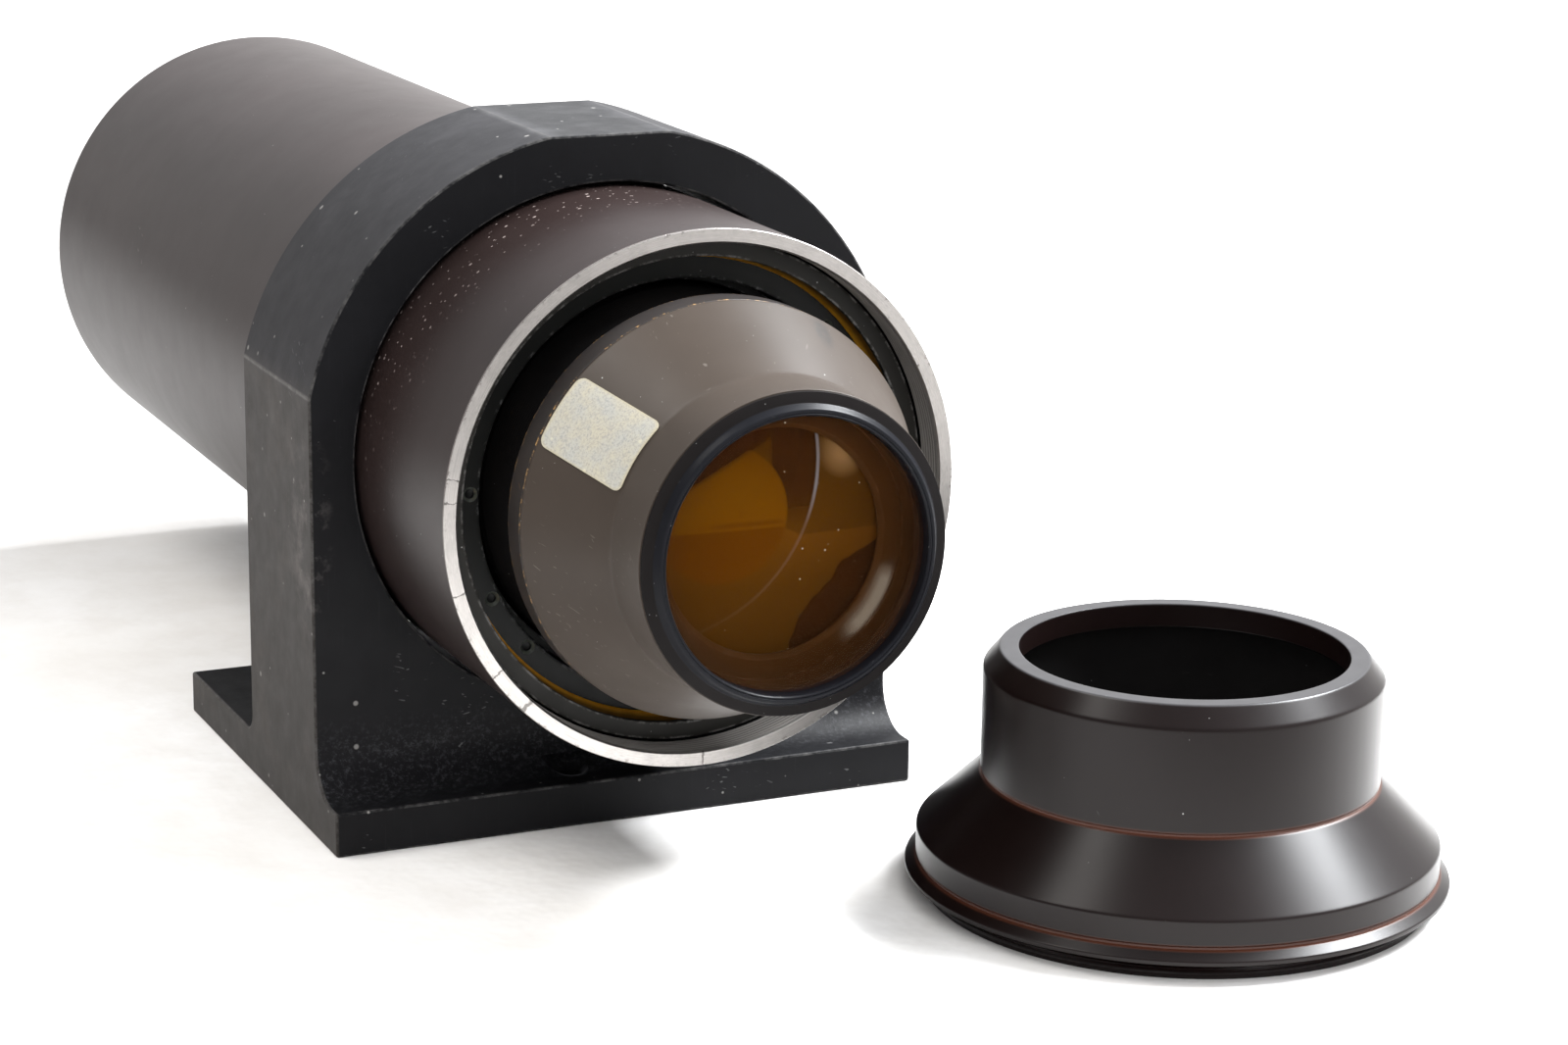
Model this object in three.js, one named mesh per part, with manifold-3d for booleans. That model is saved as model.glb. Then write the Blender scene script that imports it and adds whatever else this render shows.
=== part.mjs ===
// Barlow lens on its mounting bracket, with the loose screw-on adapter ring standing beside it.
// Millimetres, +Z up. The origin is the middle of the bracket's underside. The optical axis runs
// along Y at AXIS_HEIGHT, with the front lens towards -Y.

import * as THREE from 'three';
import { mergeVertices } from 'three/addons/utils/BufferGeometryUtils.js';
import Module from 'manifold-3d';

const wasm = await Module();
wasm.setup();

const GAP = 0.3;                 // space kept between pieces that touch
const STEPS = 48;                // facets round a large outer surface
const INNER_STEPS = 32;          // facets round a piece inside the tube
const SMALL_STEPS = 16;          // facets round a screw or a small hole
const PIN_HOLE_STEPS = 8;        // facets round a pin hole
const HEXAGON = 6;               // sides of a screw's socket
const PIERCE = 5;                // how far a cutter runs past the face that it cuts

const AXIS_HEIGHT = 71.4;

const BRACKET = {
  width: 119.4, foot: 98, footHeight: 8.6,
  webFront: -36.7, webBack: 5.2,
  arch: 61.3, top: 131.5, bore: 51.2,
  frontFillet: 9, backFillet: 4, filletSteps: 4, archSteps: 9,
};
const FOOT_HOLES = { radius: 2.4, spacing: 20, front: -41.5, back: 40 };

// Grub screws come up from the underside, each pressing a soft pad on the tube.
const SCREW = { radius: 3, length: 12, socket: 1.6, socketDepth: 4, hole: 3.4, places: [-29, -12] };
const PAD = { radius: 2.8, height: 2.6 };

const TUBE = {
  front: -83, back: 194.4, radius: 50, wall: 3.5,
  threadRadius: 47.2, threadDepth: 7.4, shoulder: 30,
};
const TUBE_BORE = TUBE.radius - TUBE.wall;

const RETAINING_RING = { inner: 43.6, thick: 1.4 };
const BRASS_RING = { front: 43.9, rear: 41.7, thick: 3.2 };
const NUT = { clearance: 0.5, mouth: 38.7, mouthDepth: 8, thread: 37 };
const PIN_HOLES = { radius: 0.9, depth: 1.6, circle: 40.4, angles: [177, 206, 223, -3, 26, 43] };

const REAR_GUIDE = { inner: 37, front: -50, length: 6 };
const KEY = { width: 4, slack: 0.3, bottom: 35.4, top: 40, slotFloor: 35, slotFront: -58 };

const BAFFLES = [
  { name: 'front_baffle', y: -20, inner: 34 },
  { name: 'middle_baffle', y: 50, inner: 31 },
  { name: 'rear_baffle', y: 120, inner: 34 },
];
const BAFFLE_THICK = 2;
const REAR_RING = { inner: 40, length: 9, inset: 1.5 };

// The lens cell: a cone with a short neck in front, a lock ring behind it, and a threaded barrel.
const CELL = {
  neckFront: -121.7, ridge: -110, base: -91, rim: -83.5, back: -40,
  neckRadius: 28.9, ridgeRadius: 29.2, rimRadius: 38.5, edge: 0.4,
  barrelRadius: 36.5, spigot: 32.7, lensBore: 27.3, stop: 24, stopFront: -98.7, rearBore: 30,
  rearBoreFront: -58,
};
// The lip inside the barrel that limits the beam.
const BARREL_LIP = { inner: 11, front: -80, back: -78.5 };
const FRONT_RING = {
  front: -124.2, step: -122.7, radius: 28.7, edge: 0.2, stepRadius: 26.6, inner: 24.6, sleeve: 27,
  back: -120,
};
const LABEL = { length: 20.5, width: 14, thick: 0.25, angle: 145.5, lift: 0.05, across: 6, along: 4 };

const LENS_RADIUS = 26.9;
const FRONT_LENSES = [
  {
    name: 'front_lens', front: -119, frontBulge: 1.4, back: -114, backBulge: 1.6,
    face: 24.3, faceFront: -122.4,
  },
  { name: 'crown_lens', front: -109.4, frontBulge: 2.2, back: -105.4, backBulge: -3 },
  { name: 'flint_lens', front: -105.1, frontBulge: -3, back: -99, backBulge: 1.2 },
];
const LENS_SPACER = {
  inner: 24.6, front: -113.7, back: -110, lip: 20.3, lipFront: -113.2, lipBack: -112,
};
const REAR_LENS = { name: 'rear_lens', front: -56, frontBulge: 2, back: -51, backBulge: -2.4 };
const REAR_LENS_RADIUS = 29.6;
const REAR_RETAINER = { inner: 26.5, front: -50.1, length: 4 };

// The adapter ring stands on its threaded end, with its axis upright.
const ADAPTER = {
  x: 78.5, y: -121.4, height: 45.5,
  threadRadius: 47, threadTop: 3.7,
  flangeRadius: 50, flangeEdge: 4.9, flangeTop: 5.8,
  skirtRadius: 48, skirtTop: 11.2,
  collarRadius: 36.5, coneTop: 22.2, collarTop: 41.9,
  faceRadius: 33.5, lipRadius: 30, lipDepth: 4.5, boreRadius: 33, flareTop: 20, flareRadius: 44,
};

const LOOKS = {
  bracket: [0x34353a, 0.6, 0.3],
  tube: [0x5a5250, 0.5, 0.5],
  blackRing: [0x1c1c20, 0.4, 0.4],
  brass: [0x9a6a2a, 0.35, 0.9],
  cone: [0x807c7a, 0.45, 0.5],
  glass: [0x8a5a1c, 0.05, 0],
  paper: [0xcfccbc, 0.9, 0],
  steel: [0x74757a, 0.35, 0.8],
};

const object = new THREE.Group();
const opticalAxis = new THREE.Group();
opticalAxis.position.z = AXIS_HEIGHT;
object.add(opticalAxis);

function addMesh(parent, name, geometry, look) {
  const [color, roughness, metalness] = LOOKS[look];
  const mesh = new THREE.Mesh(geometry, new THREE.MeshStandardMaterial({ color, roughness, metalness }));
  mesh.name = name;
  parent.add(mesh);
  return mesh;
}

// A manifold solid from a closed geometry, and back again.
function solid(geometry) {
  const bare = geometry.clone();
  bare.deleteAttribute('normal');
  bare.deleteAttribute('uv');
  const merged = mergeVertices(bare, 1e-4);
  const mesh = new wasm.Mesh({
    numProp: 3,
    vertProperties: new Float32Array(merged.attributes.position.array),
    triVerts: new Uint32Array(merged.index.array),
  });
  return new wasm.Manifold(mesh);
}

function geometryOf(manifold) {
  const mesh = manifold.getMesh();
  const geometry = new THREE.BufferGeometry();
  geometry.setAttribute('position', new THREE.BufferAttribute(mesh.vertProperties, mesh.numProp));
  geometry.setIndex(new THREE.BufferAttribute(mesh.triVerts, 1));
  return geometry;
}

// A solid of revolution about Y. The outline is a list of [radius, y] corners in order. It closes
// on itself, or on the axis where both of its ends have radius 0.
function turned(outline, steps = INNER_STEPS) {
  const points = outline.map(([radius, y]) => new THREE.Vector2(radius, y));
  const turnsLeft = points.reduce((sum, point, i) => {
    const next = points[(i + 1) % points.length];
    return sum + point.cross(next);
  }, 0) > 0;
  if (!turnsLeft) {
    points.reverse();
  }
  if (points[0].x > 0) {
    points.push(points[0].clone());
  }
  return new THREE.LatheGeometry(points, steps);
}

// A ring of rectangular section about Y.
function ring(inner, outer, from, to, steps = INNER_STEPS) {
  return turned([[inner, from], [outer, from], [outer, to], [inner, to]], steps);
}

// The corners of a domed lens face, from the axis out to the rim. A positive bulge stands out
// towards -Y.
function lensFace(rimY, radius, bulge, count = 4) {
  const corners = [];
  for (let i = 0; i <= count; i += 1) {
    const share = i / count;
    corners.push([radius * share, rimY - bulge * (1 - share ** 2)]);
  }
  return corners;
}

// A lens, whose front may stand out from its rim as a narrower step.
function lens(radius, { front, frontBulge, back, backBulge, face = radius, faceFront = front }) {
  const frontFace = lensFace(faceFront, face, frontBulge);
  if (face < radius) {
    frontFace.push([face, front], [radius, front]);
  }
  const backFace = lensFace(back, radius, backBulge).reverse();
  return turned([...frontFace, ...backFace]);
}

// An upright rod, for screws and for cutters.
function upright(radius, from, to, x, y, steps = SMALL_STEPS) {
  const rod = new THREE.CylinderGeometry(radius, radius, to - from, steps);
  rod.rotateX(Math.PI / 2);
  rod.translate(x, y, (from + to) / 2);
  return rod;
}

// A block under the optical axis, from one depth below it to another.
function blockBelowAxis(width, fromDepth, toDepth, front, back) {
  const block = new THREE.BoxGeometry(width, back - front, toDepth - fromDepth);
  block.translate(0, (front + back) / 2, -(fromDepth + toDepth) / 2);
  return block;
}

// Bracket ----------------------------------------------------------------------------------

// The inverted T of the bracket seen from its side, with a hollow fillet in each corner.
function sideOutline() {
  const half = BRACKET.foot / 2;
  const { footHeight, webFront, webBack, top, frontFillet, backFillet } = BRACKET;
  const shape = new THREE.Shape();
  shape.moveTo(-half, 0);
  shape.lineTo(half, 0);
  shape.lineTo(half, footHeight);
  shape.absarc(webBack + backFillet, footHeight + backFillet, backFillet, -Math.PI / 2, -Math.PI, true);
  shape.lineTo(webBack, top);
  shape.lineTo(webFront, top);
  shape.absarc(webFront - frontFillet, footHeight + frontFillet, frontFillet, 0, -Math.PI / 2, true);
  shape.lineTo(-half, footHeight);
  return shape;
}

// The bracket seen from its front: straight sides that run into the arch, and a flat on top.
function frontOutline() {
  const half = BRACKET.width / 2;
  const shoulder = Math.acos(half / BRACKET.arch);
  const flat = Math.asin((BRACKET.top - AXIS_HEIGHT) / BRACKET.arch);
  const shape = new THREE.Shape();
  shape.moveTo(-half, 0);
  shape.lineTo(half, 0);
  shape.absarc(0, AXIS_HEIGHT, BRACKET.arch, shoulder, flat, false);
  shape.absarc(0, AXIS_HEIGHT, BRACKET.arch, Math.PI - flat, Math.PI - shoulder, false);
  return shape;
}

function extruded(shape, depth, curveSegments) {
  const geometry = new THREE.ExtrudeGeometry(shape, { depth, bevelEnabled: false, curveSegments });
  geometry.rotateX(Math.PI / 2);
  return geometry;
}

function bracketBlank() {
  const side = extruded(sideOutline(), BRACKET.width, BRACKET.filletSteps);
  side.rotateZ(Math.PI / 2);
  side.translate(-BRACKET.width / 2, 0, 0);
  const front = extruded(frontOutline(), BRACKET.foot, BRACKET.archSteps);
  front.translate(0, BRACKET.foot / 2, 0);
  return solid(side).intersect(solid(front));
}

function makeBracket() {
  const bore = new THREE.CylinderGeometry(BRACKET.bore, BRACKET.bore, 2 * BRACKET.foot, STEPS);
  bore.translate(0, 0, AXIS_HEIGHT);
  let body = bracketBlank().subtract(solid(bore));
  for (const side of [-0.5, 0.5]) {
    for (const y of [FOOT_HOLES.front, FOOT_HOLES.back]) {
      const top = BRACKET.footHeight + PIERCE;
      body = body.subtract(solid(upright(FOOT_HOLES.radius, -PIERCE, top, side * FOOT_HOLES.spacing, y)));
    }
  }
  for (const y of SCREW.places) {
    body = body.subtract(solid(upright(SCREW.hole, -PIERCE, AXIS_HEIGHT - TUBE.radius, 0, y)));
  }
  addMesh(object, 'bracket', geometryOf(body), 'bracket');
}

function makeClamp(number, y) {
  const padTop = AXIS_HEIGHT - TUBE.radius - GAP;
  const padBottom = padTop - PAD.height;
  addMesh(object, `clamp_pad_${number}`, upright(PAD.radius, padBottom, padTop, 0, y), 'brass');
  const top = padBottom - GAP;
  const bottom = top - SCREW.length;
  const shank = solid(upright(SCREW.radius, bottom, top, 0, y));
  const socket = solid(upright(SCREW.socket, bottom - PIERCE, bottom + SCREW.socketDepth, 0, y, HEXAGON));
  addMesh(object, `clamp_screw_${number}`, geometryOf(shank.subtract(socket)), 'steel');
}

// Tube and what is fixed in it --------------------------------------------------------------

const SHOULDER = TUBE.front + TUBE.shoulder;
const SEAT = TUBE.front + TUBE.threadDepth;
const BRASS_FRONT = SEAT + RETAINING_RING.thick + GAP;
const NUT_FRONT = BRASS_FRONT + BRASS_RING.thick + GAP;

function makeTube() {
  const outline = [
    [TUBE.threadRadius, TUBE.front], [TUBE.radius, TUBE.front],
    [TUBE.radius, TUBE.back], [TUBE_BORE, TUBE.back],
    [TUBE_BORE, SHOULDER], [TUBE.threadRadius, SHOULDER],
  ];
  addMesh(opticalAxis, 'main_tube', turned(outline, STEPS), 'tube');
}

function makeFrontRings() {
  const outer = TUBE.threadRadius - GAP;
  const retainer = ring(RETAINING_RING.inner, outer, SEAT, SEAT + RETAINING_RING.thick, STEPS);
  addMesh(opticalAxis, 'tube_retaining_ring', retainer, 'blackRing');
  const brassBack = BRASS_FRONT + BRASS_RING.thick;
  const brass = turned([
    [BRASS_RING.front, BRASS_FRONT], [outer, BRASS_FRONT], [outer, brassBack], [BRASS_RING.rear, brassBack],
  ], STEPS);
  addMesh(opticalAxis, 'brass_thrust_ring', brass, 'brass');
}

// The nut that moves the lens cell, with blind holes for a pin spanner in its face.
function makeNut() {
  const outer = TUBE.threadRadius - NUT.clearance;
  const mouthBack = NUT_FRONT + NUT.mouthDepth;
  const back = SHOULDER - GAP;
  let body = solid(turned([
    [NUT.mouth, NUT_FRONT], [outer, NUT_FRONT], [outer, back],
    [NUT.thread, back], [NUT.thread, mouthBack], [NUT.mouth, mouthBack],
  ], STEPS));
  for (const degrees of PIN_HOLES.angles) {
    const angle = THREE.MathUtils.degToRad(degrees);
    const length = PIERCE + PIN_HOLES.depth;
    const hole = new THREE.CylinderGeometry(PIN_HOLES.radius, PIN_HOLES.radius, length, PIN_HOLE_STEPS);
    const middle = NUT_FRONT + PIN_HOLES.depth - length / 2;
    hole.translate(PIN_HOLES.circle * Math.cos(angle), middle, PIN_HOLES.circle * Math.sin(angle));
    body = body.subtract(solid(hole));
  }
  addMesh(opticalAxis, 'cell_adjusting_nut', geometryOf(body), 'blackRing');
}

// The ring that guides the back of the barrel, and the key that stops the barrel turning.
function makeRearGuide() {
  const back = REAR_GUIDE.front + REAR_GUIDE.length;
  const notchWidth = KEY.width + 2 * KEY.slack;
  const notch = blockBelowAxis(notchWidth, 0, KEY.top + KEY.slack, REAR_GUIDE.front - PIERCE, back + PIERCE);
  const body = solid(ring(REAR_GUIDE.inner, TUBE_BORE - GAP, REAR_GUIDE.front, back)).subtract(solid(notch));
  addMesh(opticalAxis, 'rear_guide_ring', geometryOf(body), 'blackRing');
  const key = blockBelowAxis(KEY.width, KEY.bottom, KEY.top, REAR_GUIDE.front, back);
  addMesh(opticalAxis, 'guide_key', key, 'brass');
}

function makeBafflesAndRearRing() {
  for (const { name, y, inner } of BAFFLES) {
    addMesh(opticalAxis, name, ring(inner, TUBE_BORE - GAP, y, y + BAFFLE_THICK), 'blackRing');
  }
  const back = TUBE.back - REAR_RING.inset;
  const rear = ring(REAR_RING.inner, TUBE_BORE - GAP, back - REAR_RING.length, back);
  addMesh(opticalAxis, 'rear_end_ring', rear, 'blackRing');
}

// Lens cell ---------------------------------------------------------------------------------

const LOCK_FRONT = CELL.base + CELL.edge + GAP;

function makeCone() {
  const back = CELL.base + CELL.edge;
  addMesh(opticalAxis, 'cone_cell', turned([
    [CELL.lensBore, CELL.neckFront], [CELL.neckRadius, CELL.neckFront], [CELL.ridgeRadius, CELL.ridge],
    [CELL.rimRadius, CELL.base], [CELL.rimRadius, back],
    [CELL.stop, back], [CELL.stop, CELL.stopFront], [CELL.lensBore, CELL.stopFront],
  ], STEPS), 'cone');
}

function makeLockRingAndBarrel() {
  const lock = ring(CELL.spigot + GAP, CELL.rimRadius, LOCK_FRONT, CELL.rim, STEPS);
  addMesh(opticalAxis, 'cell_lock_ring', lock, 'blackRing');
  const barrel = solid(turned([
    [CELL.stop, LOCK_FRONT], [CELL.spigot, LOCK_FRONT],
    [CELL.spigot, CELL.rim + GAP], [CELL.barrelRadius, CELL.rim + GAP],
    [CELL.barrelRadius, CELL.back], [CELL.rearBore, CELL.back],
    [CELL.rearBore, CELL.rearBoreFront], [CELL.stop, CELL.rearBoreFront],
    [CELL.stop, BARREL_LIP.back], [BARREL_LIP.inner, BARREL_LIP.back],
    [BARREL_LIP.inner, BARREL_LIP.front], [CELL.stop, BARREL_LIP.front],
  ], STEPS));
  const slotWidth = KEY.width + 2 * KEY.slack;
  const slotDepth = CELL.barrelRadius + PIERCE;
  const slot = blockBelowAxis(slotWidth, KEY.slotFloor, slotDepth, KEY.slotFront, CELL.back + PIERCE);
  addMesh(opticalAxis, 'cell_barrel', geometryOf(barrel.subtract(solid(slot))), 'blackRing');
}

function makeFrontRing() {
  const flangeBack = CELL.neckFront - GAP;
  addMesh(opticalAxis, 'front_retaining_ring', turned([
    [FRONT_RING.inner, FRONT_RING.front], [FRONT_RING.stepRadius, FRONT_RING.step],
    [FRONT_RING.radius, flangeBack - FRONT_RING.edge], [FRONT_RING.radius, flangeBack],
    [FRONT_RING.sleeve, flangeBack], [FRONT_RING.sleeve, FRONT_RING.back],
    [FRONT_RING.inner, FRONT_RING.back],
  ], STEPS), 'blackRing');
}

function makeLenses() {
  for (const shape of FRONT_LENSES) {
    addMesh(opticalAxis, shape.name, lens(LENS_RADIUS, shape), 'glass');
  }
  addMesh(opticalAxis, 'lens_spacer_ring', turned([
    [LENS_SPACER.inner, LENS_SPACER.front], [LENS_RADIUS, LENS_SPACER.front],
    [LENS_RADIUS, LENS_SPACER.back], [LENS_SPACER.inner, LENS_SPACER.back],
    [LENS_SPACER.inner, LENS_SPACER.lipBack], [LENS_SPACER.lip, LENS_SPACER.lipBack],
    [LENS_SPACER.lip, LENS_SPACER.lipFront], [LENS_SPACER.inner, LENS_SPACER.lipFront],
  ]), 'blackRing');
  addMesh(opticalAxis, REAR_LENS.name, lens(REAR_LENS_RADIUS, REAR_LENS), 'glass');
  const retainerFront = REAR_RETAINER.front;
  const retainer = ring(
    REAR_RETAINER.inner, REAR_LENS_RADIUS, retainerFront, retainerFront + REAR_RETAINER.length,
  );
  addMesh(opticalAxis, 'rear_lens_retainer', retainer, 'blackRing');
}

// A rectangle of paper laid on the cone: a thin slab whose grid follows the cone's surface.
function makeLabel() {
  const rise = CELL.rimRadius - CELL.ridgeRadius;
  const run = CELL.base - CELL.ridge;
  const slant = Math.hypot(rise, run);
  const middle = THREE.MathUtils.degToRad(LABEL.angle);
  const slab = new THREE.BoxGeometry(LABEL.width, LABEL.length, LABEL.thick, LABEL.across, LABEL.along);
  const place = slab.attributes.position;
  for (let i = 0; i < place.count; i += 1) {
    const along = slant / 2 + place.getY(i);
    const height = GAP + LABEL.lift + LABEL.thick / 2 + place.getZ(i);
    const onCone = CELL.ridgeRadius + (rise * along) / slant;
    const angle = middle - place.getX(i) / onCone;
    const radius = onCone + (height * run) / slant;
    const y = CELL.ridge + (run * along - rise * height) / slant;
    place.setXYZ(i, radius * Math.cos(angle), y, radius * Math.sin(angle));
  }
  addMesh(opticalAxis, 'paper_label', slab, 'paper');
}

// Adapter ring ------------------------------------------------------------------------------

function makeAdapter() {
  const mesh = addMesh(object, 'adapter_ring', turned([
    [ADAPTER.flareRadius, 0], [ADAPTER.threadRadius, 0], [ADAPTER.threadRadius, ADAPTER.threadTop],
    [ADAPTER.flangeRadius, ADAPTER.threadTop], [ADAPTER.flangeRadius, ADAPTER.flangeEdge],
    [ADAPTER.skirtRadius, ADAPTER.flangeTop], [ADAPTER.skirtRadius, ADAPTER.skirtTop],
    [ADAPTER.collarRadius, ADAPTER.coneTop], [ADAPTER.collarRadius, ADAPTER.collarTop],
    [ADAPTER.faceRadius, ADAPTER.height], [ADAPTER.lipRadius, ADAPTER.height],
    [ADAPTER.lipRadius, ADAPTER.height - ADAPTER.lipDepth],
    [ADAPTER.boreRadius, ADAPTER.height - ADAPTER.lipDepth],
    [ADAPTER.boreRadius, ADAPTER.flareTop], [ADAPTER.flareRadius, ADAPTER.skirtTop],
  ], STEPS), 'tube');
  mesh.rotation.x = Math.PI / 2;
  mesh.position.set(ADAPTER.x, ADAPTER.y, 0);
}

makeBracket();
SCREW.places.forEach((y, i) => makeClamp(i + 1, y));
makeTube();
makeFrontRings();
makeNut();
makeRearGuide();
makeBafflesAndRearRing();
makeCone();
makeLockRingAndBarrel();
makeFrontRing();
makeLenses();
makeLabel();
makeAdapter();

export default object;
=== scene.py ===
"""Looks for the barlow lens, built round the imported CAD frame. Blender units are metres.

Lengths named in millimetres are turned into metres by MM. Every round piece is turned on a lathe
from an outline of (radius, distance along the axis) corners, whose places come from the frame.
"""
import math

import bmesh
import bpy
from mathutils import Matrix, Vector


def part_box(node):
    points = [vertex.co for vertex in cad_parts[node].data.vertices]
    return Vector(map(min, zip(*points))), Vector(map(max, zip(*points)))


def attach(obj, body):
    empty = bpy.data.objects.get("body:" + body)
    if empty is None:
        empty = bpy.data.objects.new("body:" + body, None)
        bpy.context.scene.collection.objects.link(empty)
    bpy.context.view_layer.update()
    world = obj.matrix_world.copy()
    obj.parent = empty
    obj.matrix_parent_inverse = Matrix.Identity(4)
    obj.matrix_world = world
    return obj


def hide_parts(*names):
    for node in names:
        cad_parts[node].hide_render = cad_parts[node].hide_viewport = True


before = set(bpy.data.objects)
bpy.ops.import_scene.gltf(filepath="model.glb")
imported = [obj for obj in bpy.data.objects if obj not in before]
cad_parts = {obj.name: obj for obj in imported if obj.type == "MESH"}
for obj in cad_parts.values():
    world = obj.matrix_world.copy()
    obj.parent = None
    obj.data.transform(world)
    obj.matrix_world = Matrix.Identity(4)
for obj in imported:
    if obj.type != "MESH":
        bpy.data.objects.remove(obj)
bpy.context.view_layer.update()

MM = 0.001
SMOOTH_ANGLE = math.radians(28)
ROUND = 224                      # steps round a large turned piece
ROUND_SMALL = 96                 # steps round a piece deep inside


# Frame sizes ------------------------------------------------------------------------------

def low(node):
    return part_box(node)[0] / MM


def high(node):
    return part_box(node)[1] / MM


def radius(node):
    return (high(node).x - low(node).x) / 2


def ends(node):
    """Where a node starts and ends along the tube's axis, the lens end first."""
    return low(node).y, high(node).y


AXIS = (low("main_tube").z + high("main_tube").z) / 2
TUBE_FRONT = low("main_tube").y
TUBE_BACK = high("main_tube").y
TUBE_RADIUS = radius("main_tube")
ADAPTER_X = (low("adapter_ring").x + high("adapter_ring").x) / 2
ADAPTER_Y = (low("adapter_ring").y + high("adapter_ring").y) / 2


# Camera -----------------------------------------------------------------------------------

CAMERA_PLACE = Vector((-257.0, -676.2, 238.4)) * MM
CAMERA_YAW = math.radians(-24.69)
CAMERA_PITCH = math.radians(-14.79)
CAMERA_ROLL = math.radians(0.80)
CAMERA_LENS = 84.91


def add_camera():
    ahead = Vector((
        -math.sin(CAMERA_YAW) * math.cos(CAMERA_PITCH),
        math.cos(CAMERA_YAW) * math.cos(CAMERA_PITCH),
        math.sin(CAMERA_PITCH),
    ))
    level = Vector((math.cos(CAMERA_YAW), math.sin(CAMERA_YAW), 0))
    upward = level.cross(ahead)
    right = level * math.cos(CAMERA_ROLL) + upward * math.sin(CAMERA_ROLL)
    up = upward * math.cos(CAMERA_ROLL) - level * math.sin(CAMERA_ROLL)
    data = bpy.data.cameras.new("camera")
    data.lens = CAMERA_LENS
    data.clip_start = 0.01
    data.clip_end = 50
    camera = bpy.data.objects.new("camera", data)
    turn = Matrix((right, up, -ahead)).transposed().to_4x4()
    camera.matrix_world = Matrix.Translation(CAMERA_PLACE) @ turn
    bpy.context.scene.collection.objects.link(camera)
    bpy.context.scene.camera = camera


add_camera()


# Mesh helpers -----------------------------------------------------------------------------

def new_object(name, verts, faces):
    mesh = bpy.data.meshes.new(name)
    mesh.from_pydata(verts, [], faces)
    mesh.validate()
    piece = bpy.data.objects.new(name, mesh)
    bpy.context.scene.collection.objects.link(piece)
    return piece


def finish_mesh(piece, angle=SMOOTH_ANGLE):
    mesh = piece.data
    mesh.shade_smooth()
    mesh.set_sharp_from_angle(angle=angle)
    return piece


THREAD_PITCH = 1.0
ROWS_PER_PITCH = 8
BEND_REACH = 0.45                # most of a side that a rounded corner may take
GUARD = 1.8                      # how far the unworn points stand off, in corner sizes
GUARD_REACH = 0.49


class ThreadRow:
    """One row of a screw thread: its root radius, its place, and how far the crest stands off."""

    def __init__(self, row_radius, along, depth):
        self.radius = row_radius
        self.along = along
        self.depth = depth


def neighbour(outline, index):
    corner = outline[index]
    if isinstance(corner, ThreadRow):
        return Vector((corner.radius, corner.along))
    return Vector(corner[:2])


def soften(outline, size, steps=3, closed=True):
    """Rounds each corner of an outline. A corner is (radius, along), or (radius, along, size).

    Each point comes back as (radius, along, wear, thread): wear is 1 on a rounded corner and 0 on
    the flats beside it, so that a material can wear the edges. A thread row passes through.
    """
    count = len(outline)
    points = []
    for i, corner in enumerate(outline):
        if isinstance(corner, ThreadRow):
            points.append((corner.radius, corner.along, 0.0, corner.depth))
            continue
        here = Vector(corner[:2])
        cut = corner[2] if len(corner) > 2 else size
        ends = not closed and i in (0, count - 1)
        if ends or cut <= 0:
            points.append((here.x, here.y, 0.0, 0.0))
            continue
        before = neighbour(outline, i - 1) - here
        after = neighbour(outline, (i + 1) % count) - here
        reach = min(cut, before.length * BEND_REACH, after.length * BEND_REACH)
        start = here + before.normalized() * reach
        end = here + after.normalized() * reach
        guard_start = here + before.normalized() * min(reach * GUARD, before.length * GUARD_REACH)
        guard_end = here + after.normalized() * min(reach * GUARD, after.length * GUARD_REACH)
        points.append((guard_start.x, guard_start.y, 0.0, 0.0))
        for step in range(steps + 1):
            share = step / steps
            place = start.lerp(here, share).lerp(here.lerp(end, share), share)
            points.append((place.x, place.y, 1.0, 0.0))
        points.append((guard_end.x, guard_end.y, 0.0, 0.0))
    return points


def thread_rows(row_radius, start, end, depth):
    """Rows from start to end; the thread runs out over one pitch at each end."""
    length = abs(end - start)
    count = int(length / THREAD_PITCH * ROWS_PER_PITCH)
    rows = []
    for i in range(1, count):
        share = i / count
        from_end = min(share, 1 - share) * length / THREAD_PITCH
        along = start + (end - start) * share
        rows.append(ThreadRow(row_radius, along, depth * min(1, from_end)))
    return rows


def triangle_wave(value):
    share = value - math.floor(value)
    return 1 - abs(2 * share - 1)


ON_AXIS = 1e-6


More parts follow.
